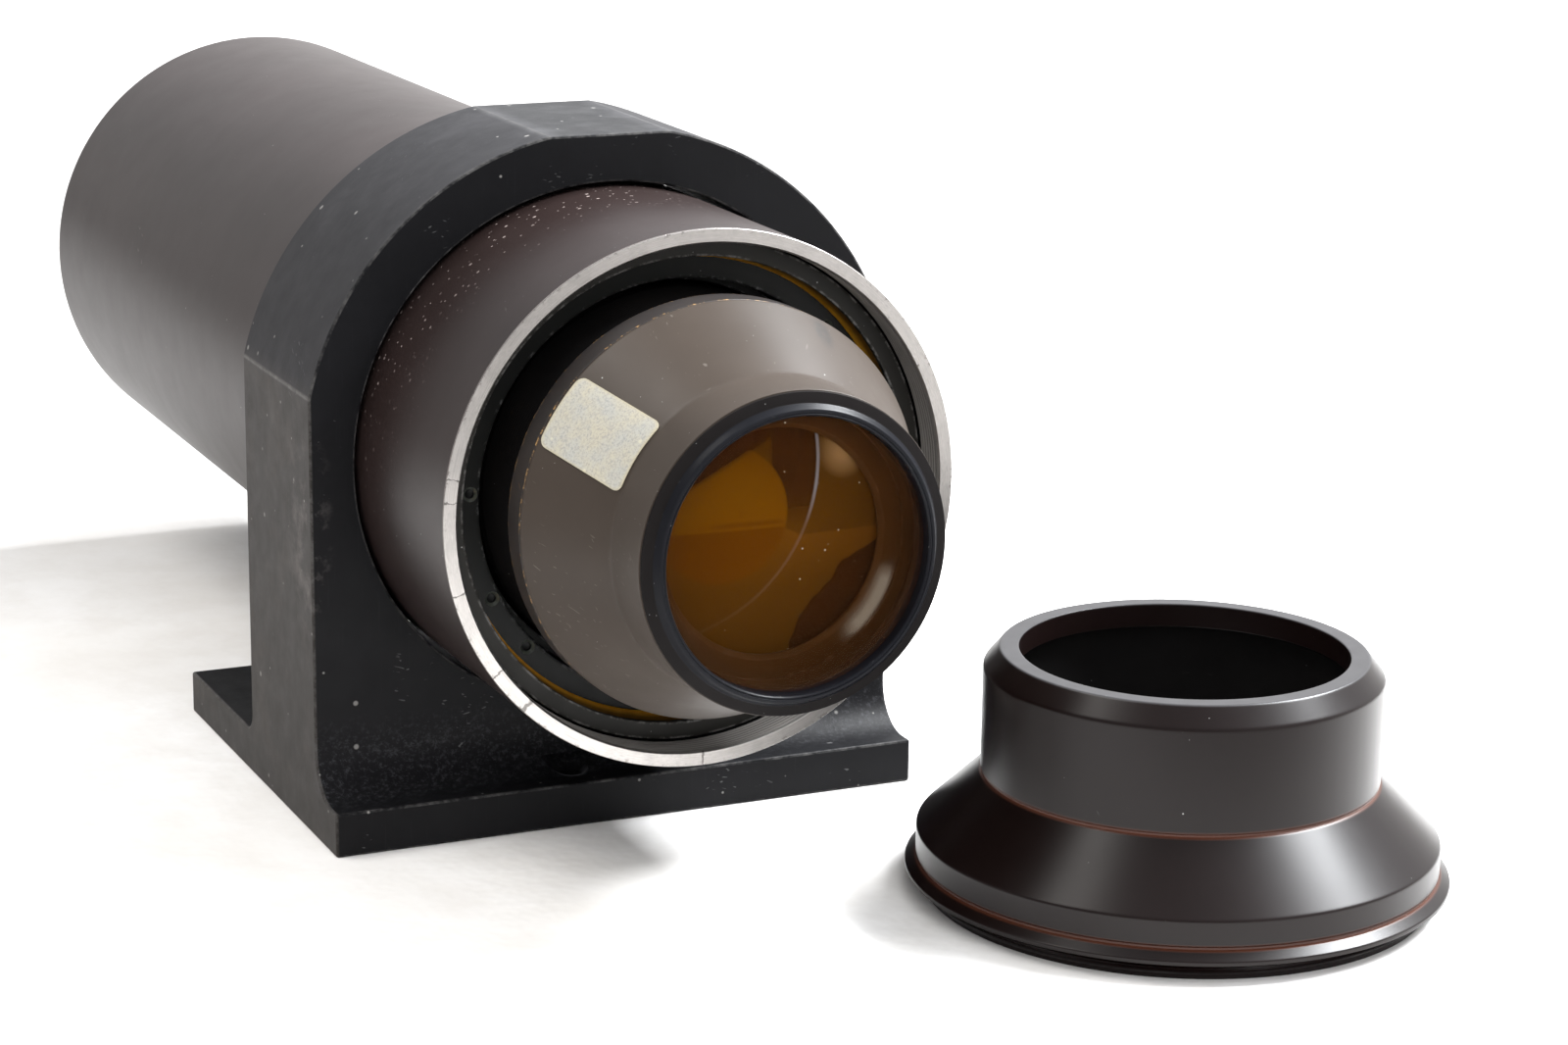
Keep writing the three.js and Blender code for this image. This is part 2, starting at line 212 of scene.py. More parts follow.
def lathe(name, outline, size=0.25, steps=ROUND, centre=None, upright=False, corner_steps=3):
    """Turns an outline about the optical axis, or about an upright axis through centre."""
    on_axis = neighbour(outline, 0).x < ON_AXIS
    points = soften(outline, size, corner_steps, closed=not on_axis)
    area = 0.0
    for one, two in zip(points, points[1:] + points[:1]):
        area += one[0] * two[1] - two[0] * one[1]
    if area > 0:
        points.reverse()
    verts = []
    wear = []
    rows = []
    for row_radius, along, row_wear, thread in points:
        if row_radius < ON_AXIS:
            rows.append([len(verts)])
            verts.append(place_on_axis(0, 0, along, centre, upright))
            wear.append(row_wear)
            continue
        rows.append(list(range(len(verts), len(verts) + steps)))
        for i in range(steps):
            angle = 2 * math.pi * i / steps
            spot = row_radius
            if thread:
                spot += thread * triangle_wave(along / THREAD_PITCH - i / steps)
            across, other = spot * math.cos(angle), spot * math.sin(angle)
            verts.append(place_on_axis(across, other, along, centre, upright))
            wear.append(row_wear)
    pairs = list(zip(rows, rows[1:]))
    if not on_axis:
        pairs.append((rows[-1], rows[0]))
    faces = []
    for one, two in pairs:
        for i in range(steps):
            j = (i + 1) % steps
            if len(one) == 1:
                faces.append((one[0], two[j], two[i]))
            elif len(two) == 1:
                faces.append((one[i], one[j], two[0]))
            else:
                faces.append((one[i], one[j], two[j], two[i]))
    piece = new_object(name, verts, faces)
    if upright:
        piece.data.flip_normals()
    store_wear(piece, wear)
    return finish_mesh(piece)


def place_on_axis(across, other, along, centre, upright):
    if upright:
        return ((centre[0] + across) * MM, (centre[1] + other) * MM, along * MM)
    return (across * MM, along * MM, (AXIS + other) * MM)


def store_wear(piece, values):
    layer = piece.data.attributes.new("wear", "FLOAT", "POINT")
    layer.data.foreach_set("value", values)


def prism(name, outline, low_end, high_end, along_x):
    """A prism with its outline in the YZ plane (along_x) or in the XZ plane."""
    verts = []
    for end in (low_end, high_end):
        for one, two in outline:
            corner = (end, one, two) if along_x else (one, end, two)
            verts.append(tuple(value * MM for value in corner))
    count = len(outline)
    faces = [tuple(range(count)), tuple(range(2 * count - 1, count - 1, -1))]
    for i in range(count):
        j = (i + 1) % count
        faces.append((i, count + i, count + j, j))
    piece = new_object(name, verts, faces)
    recalculate(piece)
    return piece


def recalculate(piece):
    work = bmesh.new()
    work.from_mesh(piece.data)
    bmesh.ops.recalc_face_normals(work, faces=work.faces)
    work.to_mesh(piece.data)
    work.free()


def apply_modifiers(piece):
    graph = bpy.context.evaluated_depsgraph_get()
    mesh = bpy.data.meshes.new_from_object(piece.evaluated_get(graph))
    old = piece.data
    piece.modifiers.clear()
    piece.data = mesh
    mesh.name = piece.name
    bpy.data.meshes.remove(old)


def boolean(piece, tool, operation):
    change = piece.modifiers.new("cut", "BOOLEAN")
    change.operation = operation
    change.solver = "EXACT"
    change.object = tool
    apply_modifiers(piece)
    mesh = tool.data
    bpy.data.objects.remove(tool)
    bpy.data.meshes.remove(mesh)


def bevel(piece, width, steps, angle, material_index=-1):
    change = piece.modifiers.new("bevel", "BEVEL")
    change.width = width * MM
    change.segments = steps
    change.limit_method = "ANGLE"
    change.angle_limit = math.radians(angle)
    change.material = material_index
    apply_modifiers(piece)


def arc(centre_one, centre_two, arc_radius, start, end, count):
    points = []
    for i in range(count + 1):
        angle = math.radians(start + (end - start) * i / count)
        one = centre_one + arc_radius * math.cos(angle)
        points.append((one, centre_two + arc_radius * math.sin(angle)))
    return points


# Shader helpers ---------------------------------------------------------------------------

class Shading:
    """Short calls for the nodes of one tree. A call gives back the output of the node it makes."""

    def __init__(self, owner):
        owner.use_nodes = True
        self.tree = owner.node_tree
        self.tree.nodes.clear()

    def node(self, kind, inputs=None, **settings):
        made = self.tree.nodes.new("ShaderNode" + kind)
        for key, value in settings.items():
            setattr(made, key, value)
        self.fill(made, inputs or {})
        return made

    def fill(self, made, inputs):
        for key, value in inputs.items():
            if isinstance(value, bpy.types.NodeSocket):
                self.tree.links.new(value, made.inputs[key])
            else:
                made.inputs[key].default_value = value

    def math(self, operation, one, two=0.0):
        return self.node("Math", {0: one, 1: two}, operation=operation).outputs[0]

    def minus(self, one, two):
        return self.math("SUBTRACT", one, two)

    def gap(self, one, two):
        return self.math("ABSOLUTE", self.minus(one, two))

    def product(self, first, *others):
        for other in others:
            first = self.math("MULTIPLY", first, other)
        return first

    def largest(self, first, *others):
        for other in others:
            first = self.math("MAXIMUM", first, other)
        return first

    def between(self, value, start, end, low_out=0.0, high_out=1.0):
        inputs = {"Value": value, "From Min": start, "From Max": end, "To Min": low_out, "To Max": high_out}
        return self.node("MapRange", inputs, clamp=True).outputs[0]

    def blend(self, factor, one, two):
        """A blend of two colours, each given as (red, green, blue) or as a socket."""
        one, two = (colour + (1.0,) if isinstance(colour, tuple) else colour for colour in (one, two))
        return self.node("Mix", {0: factor, 6: one, 7: two}, data_type="RGBA").outputs[2]

    def split(self, vector):
        return self.node("SeparateXYZ", {0: vector}).outputs

    def flat_distance(self, one, two):
        squares = self.math("ADD", self.math("POWER", one, 2.0), self.math("POWER", two, 2.0))
        return self.math("SQRT", squares)

    def away_from(self, across, up, centre):
        one = self.minus(across, centre[0])
        return self.flat_distance(one, self.minus(up, centre[1]))


class Coat(Shading):
    """A material being made: its place in mm, and the colour laid on so far."""

    def __init__(self, name, colour=None):
        self.material = bpy.data.materials.new(name)
        super().__init__(self.material)
        output = self.node("OutputMaterial")
        self.shader = self.node("BsdfPrincipled")
        self.tree.links.new(self.shader.outputs[0], output.inputs["Surface"])
        place = self.node("TexCoord").outputs["Object"]
        self.place = self.node("VectorMath", {0: place, "Scale": 1 / MM}, operation="SCALE").outputs[0]
        self.colour = colour

    def over(self, colour, *factors):
        """Lays a colour over what is there, as far as the product of the factors says."""
        self.colour = self.blend(self.product(*factors), self.colour, colour)

    def finish(self, roughness, normal=None, **inputs):
        values = {"Base Color": self.colour, "Roughness": roughness, **inputs}
        if normal is not None:
            values["Normal"] = normal
        self.fill(self.shader, values)
        return self.material

    def noise(self, scale, detail=3.0, rough=0.6, vector=None):
        vector = self.place if vector is None else vector
        inputs = {"Vector": vector, "Scale": scale, "Detail": detail, "Roughness": rough}
        return self.node("TexNoise", inputs).outputs["Fac"]

    def clouds(self, scale, detail, low_out=0.0, high_out=1.0):
        return self.between(self.noise(scale, detail), 0.3, 0.7, low_out, high_out)

    def specks(self, spacing, size, share):
        """Scattered dots: spacing between cells and dot size in mm, in this share of the cells."""
        cells = self.node("TexVoronoi", {"Vector": self.place, "Scale": 1 / spacing})
        dot = self.between(cells.outputs["Distance"], size / spacing, size / spacing * 0.6)
        pick = self.node("SeparateColor", {0: cells.outputs["Color"]}).outputs[0]
        return self.product(dot, self.math("LESS_THAN", pick, share))

    def turned_place(self, centre=None):
        """Distance from the turning axis and place along it, both in mm."""
        x, y, z = self.split(self.place)
        if centre is None:
            return self.flat_distance(x, self.minus(z, AXIS)), y
        return self.away_from(x, y, centre), z

    def across_and_up(self):
        """Place across the optical axis, as mm to the right of it and mm above it."""
        x, _, z = self.split(self.place)
        return x, self.minus(z, AXIS)

    def turned_lines(self, centre, scale):
        """Fine rings round the axis, broken up a little along their length."""
        away, along = self.turned_place(centre)
        drift = self.noise(0.05, 1.0)
        away = self.math("ADD", away, drift)
        pair = self.node("CombineXYZ", {0: away, 1: along, 2: self.product(drift, 3.0)}).outputs[0]
        return self.noise(scale, 5.0, 0.7, pair)

    def scratches(self, amount, turn=0.0):
        """Thin straight scratches in a few directions, in patches that cover about this share."""
        lines = []
        for angle, offset in ((0.5 + turn, 0.0), (2.1 + turn, 40.0), (1.2 + turn, 90.0)):
            rotated = self.node("Mapping", {
                0: self.place, "Location": (offset, offset, offset),
                "Rotation": (angle, angle * 0.7, angle * 1.3),
            }).outputs[0]
            stretched = self.node("Mapping", {0: rotated, "Scale": (2.2, 0.045, 0.5)}).outputs[0]
            lines.append(self.between(self.noise(1.0, 1.0, vector=stretched), 0.735, 0.76))
        patch = self.between(self.noise(0.05, 3.0), 0.68 - amount, 0.72 - amount)
        return self.product(self.largest(*lines), patch)

    def worn_edge(self):
        return self.node("Attribute", attribute_name="wear").outputs["Fac"]

    def bumped(self, height, strength, distance):
        inputs = {"Height": height, "Strength": strength, "Distance": distance * MM}
        return self.node("Bump", inputs).outputs[0]


DUST = (0.55, 0.55, 0.54)


def anodised(name, dark, light, rough, ior, centre=None, wear=(0.5, 0.5, 0.5), wear_amount=0.35,
             dust=0.25, lines=0.25, scratch=0.1, uneven=0.06, extra=None):
    """Turned and anodised metal: cloudy colour, fine turning rings, dust, scratches, worn edges."""
    coat = Coat(name)
    coat.colour = coat.blend(coat.clouds(0.035, 4.0), dark, light)
    rings = coat.turned_lines(centre, 6.0)
    coat.over(light, coat.between(rings, 0.62, 0.8, 0.0, 0.5))
    if extra:
        extra(coat)
    coat.over(wear, coat.scratches(scratch), 0.5)
    edge = coat.worn_edge()
    coat.over(wear, edge, coat.between(coat.noise(0.5, 5.0, 0.75), 0.62 - wear_amount, 0.75 - wear_amount))
    dots = coat.largest(coat.specks(5.0, 0.16, dust), coat.specks(1.9, 0.07, dust))
    coat.over(DUST, dots, 0.75)
    patchy = coat.clouds(0.12, 4.0, rough - uneven, rough + uneven)
    roughness = coat.math("ADD", patchy, coat.product(dots, 0.3))
    return coat.finish(roughness, coat.bumped(rings, lines, 0.02), IOR=ior)


def radial_cuts(coat, bearings):
    """Short dark scores across a ring's face, at these bearings round the optical axis."""
    across, up = coat.across_and_up()
    bearing = coat.math("ARCTAN2", up, across)
    bearing = coat.math("ADD", bearing, coat.clouds(0.7, 2.0, -0.006, 0.006))
    total = 0.0
    for degrees, half_width in bearings:
        gap = coat.gap(bearing, math.radians(degrees))
        half = math.radians(half_width)
        total = coat.largest(total, coat.between(gap, half, half * 0.4))
    return total


def bare_metal(name, colour, rough, cuts=()):
    """Bright machined metal with turning rings, stains, small nicks and a few scores."""
    coat = Coat(name)
    rings = coat.turned_lines(None, 9.0)
    stain = coat.between(coat.noise(0.25, 5.0, 0.7), 0.45, 0.75)
    darker = tuple(value * 0.55 for value in colour)
    coat.colour = coat.blend(coat.between(rings, 0.35, 0.75), colour, darker)
    coat.over(darker, stain, 0.45)
    nicks = coat.specks(3.0, 0.3, 0.3)
    coat.over((0.12, 0.11, 0.1), nicks, 0.7)
    away = coat.turned_place()[0]
    chips = coat.product(coat.between(away, TUBE_RADIUS - 0.9, TUBE_RADIUS - 0.2),
                         coat.between(coat.noise(0.9, 3.0, 0.75), 0.56, 0.66))
    nicks = coat.largest(nicks, chips)
    coat.over((0.14, 0.125, 0.115), chips, 0.75)
    height = coat.minus(rings, coat.product(nicks, 2.0))
    if cuts:
        scores = radial_cuts(coat, cuts)
        coat.over((0.08, 0.075, 0.07), scores, 0.75)
        height = coat.minus(height, coat.product(scores, 2.0))
    roughness = coat.between(rings, 0.3, 0.7, rough, rough + 0.14)
    return coat.finish(roughness, coat.bumped(height, 0.35, 0.03), Metallic=1.0)


# Materials --------------------------------------------------------------------------------

ADAPTER_CENTRE = (ADAPTER_X, ADAPTER_Y)
ADAPTER_TOP = high("adapter_ring").z
BRONZE = (0.42, 0.25, 0.10)
# Scores across the tube's rim: (bearing round the axis, half of the width), in degrees.
RIM_SCORES = ((-90, 0.3), (-165, 0.25), (-135, 0.6), (-145, 0.25), (175, 0.2), (170, 0.2))
SMUDGE = (17.3, 32.1)            # on the cone, mm across and above the axis
HALF_WIDTH = high("bracket").x
BRACKET_TOP = high("bracket").z
FOOT_HEIGHT = 8.6
WEB_FRONT = -36.7
SHOULDER_HEIGHT = 85.3           # where the bracket's straight sides turn into its arch
TOP_HALF_WIDTH = 12.1            # of the flat on top of the arch
FOOT_HOLE = 2.4
FOOT_HOLE_PLACES = [(x, y) for x in (-10.0, 10.0) for y in (-41.5, 40.0)]
THREAD_CREST = 47.2
THREAD_DEPTH = 0.5


def bracket_painted_light_and_scuff(coat, x, y, z):
    """Painted light: the side towards -X, the arch and the top flat are painted paler where more light falls
    on them; a scuff on the side towards -X is wear.
    """
    rub_and_light_noise = coat.between(coat.noise(0.09, 5.0, 0.7), 0.5, 0.72)
    near_side = coat.between(x, -55.0, -HALF_WIDTH)
    # Painted light: the side towards -X is painted paler.
    side = coat.between(x, -59.0, -59.65)
    coat.over((0.036, 0.030, 0.026), side, coat.between(rub_and_light_noise, 0.0, 1.0, 0.55, 1.0))
    scuff_height = coat.between(coat.gap(z, 58.0), 22.0, 4.0)
    scuff = coat.product(near_side, scuff_height, coat.between(y, -22.0, -36.0), rub_and_light_noise)
    coat.over((0.30, 0.27, 0.26), scuff, 0.5)
    # Painted light: the arch's curved top is painted paler.
    outside = coat.minus(coat.flat_distance(x, coat.minus(z, AXIS)), 61.0)
    arch = coat.product(coat.between(outside, -0.3, 0.1), coat.between(z, 84.0, 86.0),
                        coat.between(y, WEB_FRONT + 0.1, WEB_FRONT + 0.5))
    coat.over((0.034, 0.033, 0.036), arch, coat.between(rub_and_light_noise, 0.0, 1.0, 0.5, 0.8))
    # Painted light: the top flat is painted paler.
    top = coat.between(z, BRACKET_TOP - 0.3, BRACKET_TOP - 0.1)
    coat.over((0.13, 0.13, 0.135), top, coat.between(rub_and_light_noise, 0.0, 1.0, 0.12, 0.26))


def bracket_creases(coat, x, z):
    """Chipped pale lines where the arch meets the sides and the top flat."""
    chipped = coat.between(coat.noise(0.35, 4.0, 0.7), 0.35, 0.6, 0.2, 0.75)
    shoulders = (z, SHOULDER_HEIGHT, x, HALF_WIDTH, 0.9)
    top_edges = (x, TOP_HALF_WIDTH, z, BRACKET_TOP - 0.1, 0.3)
    for one, place_one, two, place_two, strength in (shoulders, top_edges):
        off_one = coat.minus(coat.math("ABSOLUTE", one), place_one)
        off_two = coat.minus(coat.math("ABSOLUTE", two), place_two)
        crease = coat.between(coat.flat_distance(off_one, off_two), 0.55, 0.2)
        coat.over((0.13, 0.125, 0.12), crease, chipped, strength)


def bracket_foot(coat, x, y, z):
    """Painted highlights: pale rings round the front foot holes stand for their lit rims. Also flecks on the
    front fillet, which is returned.
    """
    low_down = coat.between(z, 24.0, 16.0)
    fillet = coat.product(coat.between(y, -35.0, -36.6), low_down,
                          coat.between(z, FOOT_HEIGHT - 0.3, FOOT_HEIGHT + 0.4))
    # Painted highlight: a pale ring round each front foot hole, for the lit rim of the hole.
    for spot in FOOT_HOLE_PLACES:
        off_edge = coat.minus(coat.away_from(x, y, spot), FOOT_HOLE + 0.4)
        ring = coat.between(coat.math("ABSOLUTE", off_edge), 0.8, 0.3, 0.0, 0.8)
        ring = coat.product(ring, coat.between(z, 6.0, 8.0), coat.between(y, -40.5, -43.0))
        coat.over((0.085, 0.085, 0.092), ring)
    flecks = coat.product(fillet, coat.between(coat.noise(1.1, 5.0, 0.8), 0.5, 0.68, 0.0, 0.6))
    coat.over((0.045, 0.045, 0.050), flecks)
    return fillet


def bracket_material(name, worn):
    """Charcoal finish on milled metal; the edges have a paler copy of it."""
    coat = Coat(name)
    x, y, z = coat.split(coat.place)
    coat.colour = coat.blend(coat.clouds(0.03, 5.0), (0.0034, 0.0034, 0.0040), (0.0062, 0.0062, 0.0072))
    streaks = coat.node("Mapping", {0: coat.place, "Scale": (1.6, 1.6, 0.06)}).outputs[0]
    mill = coat.noise(1.0, 4.0, 0.7, streaks)
    coat.over((0.022, 0.022, 0.024), coat.between(mill, 0.6, 0.8, 0.0, 0.25))
    bracket_painted_light_and_scuff(coat, x, y, z)
    bracket_creases(coat, x, z)
    coat.over((0.2, 0.2, 0.2), coat.scratches(0.08, 0.4), 0.3)
    if worn:
        ragged = coat.between(coat.noise(0.4, 5.0, 0.75), 0.40, 0.68, 0.0, 0.7)
        coat.over((0.085, 0.082, 0.080), ragged)
    dots = coat.largest(coat.specks(4.6, 0.34, 0.55), coat.specks(9.0, 0.62, 0.5))
    coat.over((0.30, 0.29, 0.275), dots, 0.55)
    fillet = bracket_foot(coat, x, y, z)
    coarse = coat.product(coat.noise(1.6, 5.0, 0.75), coat.between(fillet, 0, 1, 0.2, 1.4))
    height = coat.math("ADD", coarse, coat.product(mill, 0.4))
    roughness = coat.clouds(0.2, 4.0, 0.44, 0.52)
    return coat.finish(roughness, coat.bumped(height, 0.3, 0.12), IOR=1.21)


def adapter_lines_and_painted_top(coat):
    """Coppery lines where the adapter's finish is thin, in two corners, and a top face painted paler as
    painted light.
    """
    away, along = coat.turned_place(ADAPTER_CENTRE)
    for corner_radius, height in ((36.5, 22.4), (48.0, 6.0)):
        gap_one = coat.gap(away, corner_radius)
        gap_two = coat.gap(along, height)
        near = coat.between(coat.math("ADD", gap_one, gap_two), 0.95, 0.1)
        coat.over((0.105, 0.033, 0.017), near, 0.55)
    # Painted light: the top face is painted paler.
    top = coat.product(coat.between(along, ADAPTER_TOP - 0.3, ADAPTER_TOP - 0.05),
                       coat.clouds(0.3, 4.0, 0.75, 1.0))
    coat.over((0.036, 0.035, 0.037), top)


def tube_dust(coat):
    """Dust gathered on the upper side of the tube in front of the bracket."""
    y, z = coat.split(coat.place)[1:]
    gathered = coat.product(
        coat.between(y, -62.0, -44.0), coat.between(y, -20.0, -36.0), coat.between(z, 64.0, 96.0),
        coat.between(coat.noise(0.14, 3.0), 0.36, 0.5),
    )
    dots = coat.largest(coat.specks(2.3, 0.42, 0.45), coat.specks(1.3, 0.24, 0.45))
    coat.over((0.40, 0.33, 0.31), gathered, dots, 0.65)


def thread_root_painted_shade(coat):
    """Painted shade in the roots between the crests of the thread in the tube's mouth."""
    away = coat.turned_place()[0]
    root = coat.between(away, THREAD_CREST + 0.12, THREAD_CREST + THREAD_DEPTH * 0.8)
    coat.over((0.004, 0.0035, 0.003), root)


def cone_painted_neck_and_smudge(coat):
    """A faint band painted paler along the cone's ridge and neck, as painted light, and one dark smudge."""
    across, up = coat.across_and_up()
    along = coat.split(coat.place)[1]
    # Painted light: the neck in front of the ridge is painted a little paler.
    ragged = coat.math("ADD", along, coat.clouds(0.12, 4.0, -0.7, 0.7))
    coat.over((0.085, 0.074, 0.066), coat.between(ragged, -109.2, -110.8, 0.0, 0.12))
    near = coat.between(coat.away_from(across, up, SMUDGE), 2.4, 1.1)
    smudge = coat.product(near, coat.between(along, -101.0, -98.0),
                          coat.between(coat.noise(0.6, 3.0), 0.35, 0.6, 0.3, 0.8))
    coat.over((0.022, 0.020, 0.019), smudge)


def brass_material():
    """Brass that has kept its gold in a dark place: turning lines, darker stains, and a band of painted shade
    on its face.
    """
    coat = Coat("turned_brass")
    rings = coat.turned_lines(None, 9.0)
    coat.colour = coat.blend(coat.between(rings, 0.35, 0.75), (0.95, 0.46, 0.035), (0.62, 0.27, 0.02))
    coat.over((0.30, 0.12, 0.012), coat.between(coat.noise(0.3, 4.0, 0.7), 0.5, 0.75, 0.0, 0.5))
    away = coat.turned_place()[0]
    # Painted shade: a darker band about 43 to 45 mm from the axis.
    shaded = coat.product(coat.between(away, 43.0, 43.5), coat.between(away, 45.0, 44.5), 0.85)
    coat.over((0.10, 0.045, 0.008), shaded)
    roughness = coat.between(rings, 0.3, 0.7, 0.36, 0.5)
    return coat.finish(roughness, coat.bumped(rings, 0.3, 0.03), Metallic=0.35)


def glass_dust(coat):
    return coat.largest(coat.specks(3.4, 0.20, 0.45), coat.specks(1.7, 0.09, 0.3))


def front_glass_material():
    """Clear amber glass: dusty, with a painted pale sheen, a painted reflection, low on its right side, and a
    painted glow towards its rim.
    """
    coat = Coat("amber_front_glass", (0.030, 0.012, 0.006))
    across, up = coat.across_and_up()
    front_face = coat.between(coat.split(coat.place)[1], -118.0, -120.0)
    away = coat.flat_distance(across, up)
    bearing = coat.math("ARCTAN2", up, across)
    # Painted reflection: the pale sheen low on the right of the front face.
    sheen = coat.product(
        front_face, coat.between(away, 19.4, 18.2), coat.between(away, 14.0, 16.8),
        coat.between(bearing, -1.14, -0.86), coat.between(bearing, -0.08, -0.32),
    )
    # Painted glow: more of the amber colour shows towards the rim.
    rim_glow = coat.between(away, 20.5, 24.2, 0.02, 0.14)
    dots = coat.product(glass_dust(coat), front_face)
    coat.over((0.105, 0.086, 0.066), sheen)
    coat.over((0.6, 0.55, 0.45), dots)
    cover = coat.largest(coat.product(sheen, 0.62), coat.product(dots, 0.7))
    cover = coat.largest(cover, coat.math("ADD", rim_glow, coat.product(front_face, 0.08)))
    tint = (1.0, 0.75, 0.45, 1.0)
    roughness = coat.between(dots, 0.0, 1.0, 0.05, 0.5)
    return coat.finish(roughness, Alpha=cover, IOR=1.27, **{"Specular Tint": tint})


# Places of the painted reflections, painted light and painted shade in the coated glass, in mm across and
# above the axis.
BOW_CENTRE = (-22.4, 14.6)
BOW_RADIUS = 31.7
DISC_CENTRE = (-9.1, 5.2)
DISC_RADIUS = 12.3
DEEP_CENTRE = (-8.0, 4.5)
PATCH_CENTRE = (14.6, 14.8)
LOW_SHADE_CENTRE = (29.3, -27.8)
DARK_AMBER = (0.027, 0.0078, 0.0008)
BURNT_AMBER = (0.085, 0.024, 0.001)


def doublet_material():
    """Amber glass with painted reflections, painted light and painted shade: the soft shapes that its inner
    faces would show through one another.
    """
    coat = Coat("amber_glass_painted_reflections")
    across, up = coat.across_and_up()
    wander = coat.clouds(0.09, 2.0, -1.6, 1.6)
    left = coat.between(across, 16.0, -12.0)
    coat.colour = coat.blend(left, (0.062, 0.023, 0.0015), (0.068, 0.024, 0.0008))
    bow_away = coat.away_from(across, up, BOW_CENTRE)
    within_bow = coat.between(bow_away, BOW_RADIUS + 0.1, BOW_RADIUS - 0.4)
    # Painted shade inside the bow, right of the middle.
    shade = coat.product(within_bow, coat.between(up, 2.0, 8.0), coat.between(across, -0.3, 0.9))
    coat.over((0.032, 0.0100, 0.0012), shade)
    # Painted shade: a dark corner at the top left.
    top_left = coat.minus(up, coat.product(across, 0.534))
    corner = coat.product(coat.between(top_left, 17.4, 18.6), coat.between(across, 0.8, -0.8))
    coat.over(DARK_AMBER, corner)
    # Painted light: a warmer, lighter zone below a bending line.
    bend = coat.between(across, 2.0, 6.0, 2.3, 0.4)
    beyond = coat.minus(up, bend)
    below = coat.between(beyond, 0.15, -0.15)
    warmer = coat.blend(0.35, coat.colour, (0.155, 0.050, 0.004))
    coat.over(warmer, below, coat.between(up, -9.0, 1.0))
    # Painted light: a bright amber disc, the lit far end of the tube seen through the lenses.
    disc = coat.between(coat.away_from(across, up, DISC_CENTRE), DISC_RADIUS + 0.2, DISC_RADIUS - 0.2)
    disc_colour = coat.blend(below, (0.122, 0.042, 0.0002), (0.086, 0.025, 0.0002))
    deeper = coat.between(coat.away_from(across, up, DEEP_CENTRE), 8.0, 12.0, 0.0, 0.3)
    disc_colour = coat.blend(deeper, disc_colour, (0.095, 0.030, 0.0005))
    smudge = coat.between(coat.noise(0.16, 2.0), 0.60, 0.68, 0.0, 0.35)
    disc_colour = coat.blend(smudge, disc_colour, BURNT_AMBER)
    coat.over(disc_colour, disc, coat.minus(1.0, corner))
    # Painted reflection: a darker line just above the bending line.
    streak = coat.product(
        coat.between(coat.gap(beyond, 0.9), 0.7, 0.15),
        coat.between(across, -15.0, -8.0), coat.between(across, 4.0, 1.0),
    )
    coat.over(BURNT_AMBER, streak, 0.75)
    # Painted reflection: a pale patch at the top right.
    patch = coat.between(coat.away_from(across, up, PATCH_CENTRE), 5.4, 1.4)
    coat.over((0.33, 0.18, 0.07), patch, 0.85)
    # Painted shade low on the right.
    low_away = coat.math("ADD", coat.away_from(across, up, LOW_SHADE_CENTRE), wander)
    coat.over(DARK_AMBER, coat.between(low_away, 26.8, 26.2))
    # Painted reflection: a thin pale bow.
    bow = coat.between(coat.gap(bow_away, BOW_RADIUS), 0.42, 0.12)
    bow_colour = coat.blend(coat.between(up, 2.0, 9.0), (0.13, 0.072, 0.045), (0.22, 0.21, 0.22))
    coat.over(bow_colour, bow, coat.between(up, -17.0, 9.0, 0.12, 0.8))
    coat.over((0.42, 0.30, 0.14), coat.specks(2.6, 0.08, 0.3), 0.6)
    return coat.finish(coat.between(smudge, 0.0, 0.35, 0.3, 0.4), Alpha=0.94, IOR=1.04)


def inner_glass_material():
    """Amber glass deep in the barrel, seen only through the others or from behind."""
    coat = Coat("amber_inner_glass")
    coat.colour = coat.blend(coat.clouds(0.05, 2.0), (0.16, 0.062, 0.012), (0.11, 0.042, 0.008))
    dots = glass_dust(coat)
    coat.over((0.5, 0.42, 0.3), dots, 0.6)
    return coat.finish(coat.between(dots, 0.0, 1.0, 0.04, 0.4), Alpha=0.5, IOR=1.5)


def paper_material():
    """Aged paper: mottled, grey in its grain, creamier in spots and along its edge."""
    coat = Coat("aged_paper")
    cloud = coat.between(coat.noise(0.3, 5.0), 0.35, 0.65)
    coat.colour = coat.blend(cloud, (0.40, 0.37, 0.29), (0.36, 0.355, 0.32))
    coat.over((0.19, 0.192, 0.198), coat.between(coat.noise(2.3, 4.0, 0.75), 0.46, 0.64), 0.62)
    coat.over((0.54, 0.505, 0.37), coat.specks(2.4, 0.45, 0.25), 0.6)
    coat.over((0.40, 0.34, 0.20), coat.worn_edge(), 0.5)
    fibres = coat.noise(4.0, 4.0, 0.7)
    return coat.finish(coat.between(fibres, 0.3, 0.7, 0.75, 0.9), coat.bumped(fibres, 0.35, 0.05))


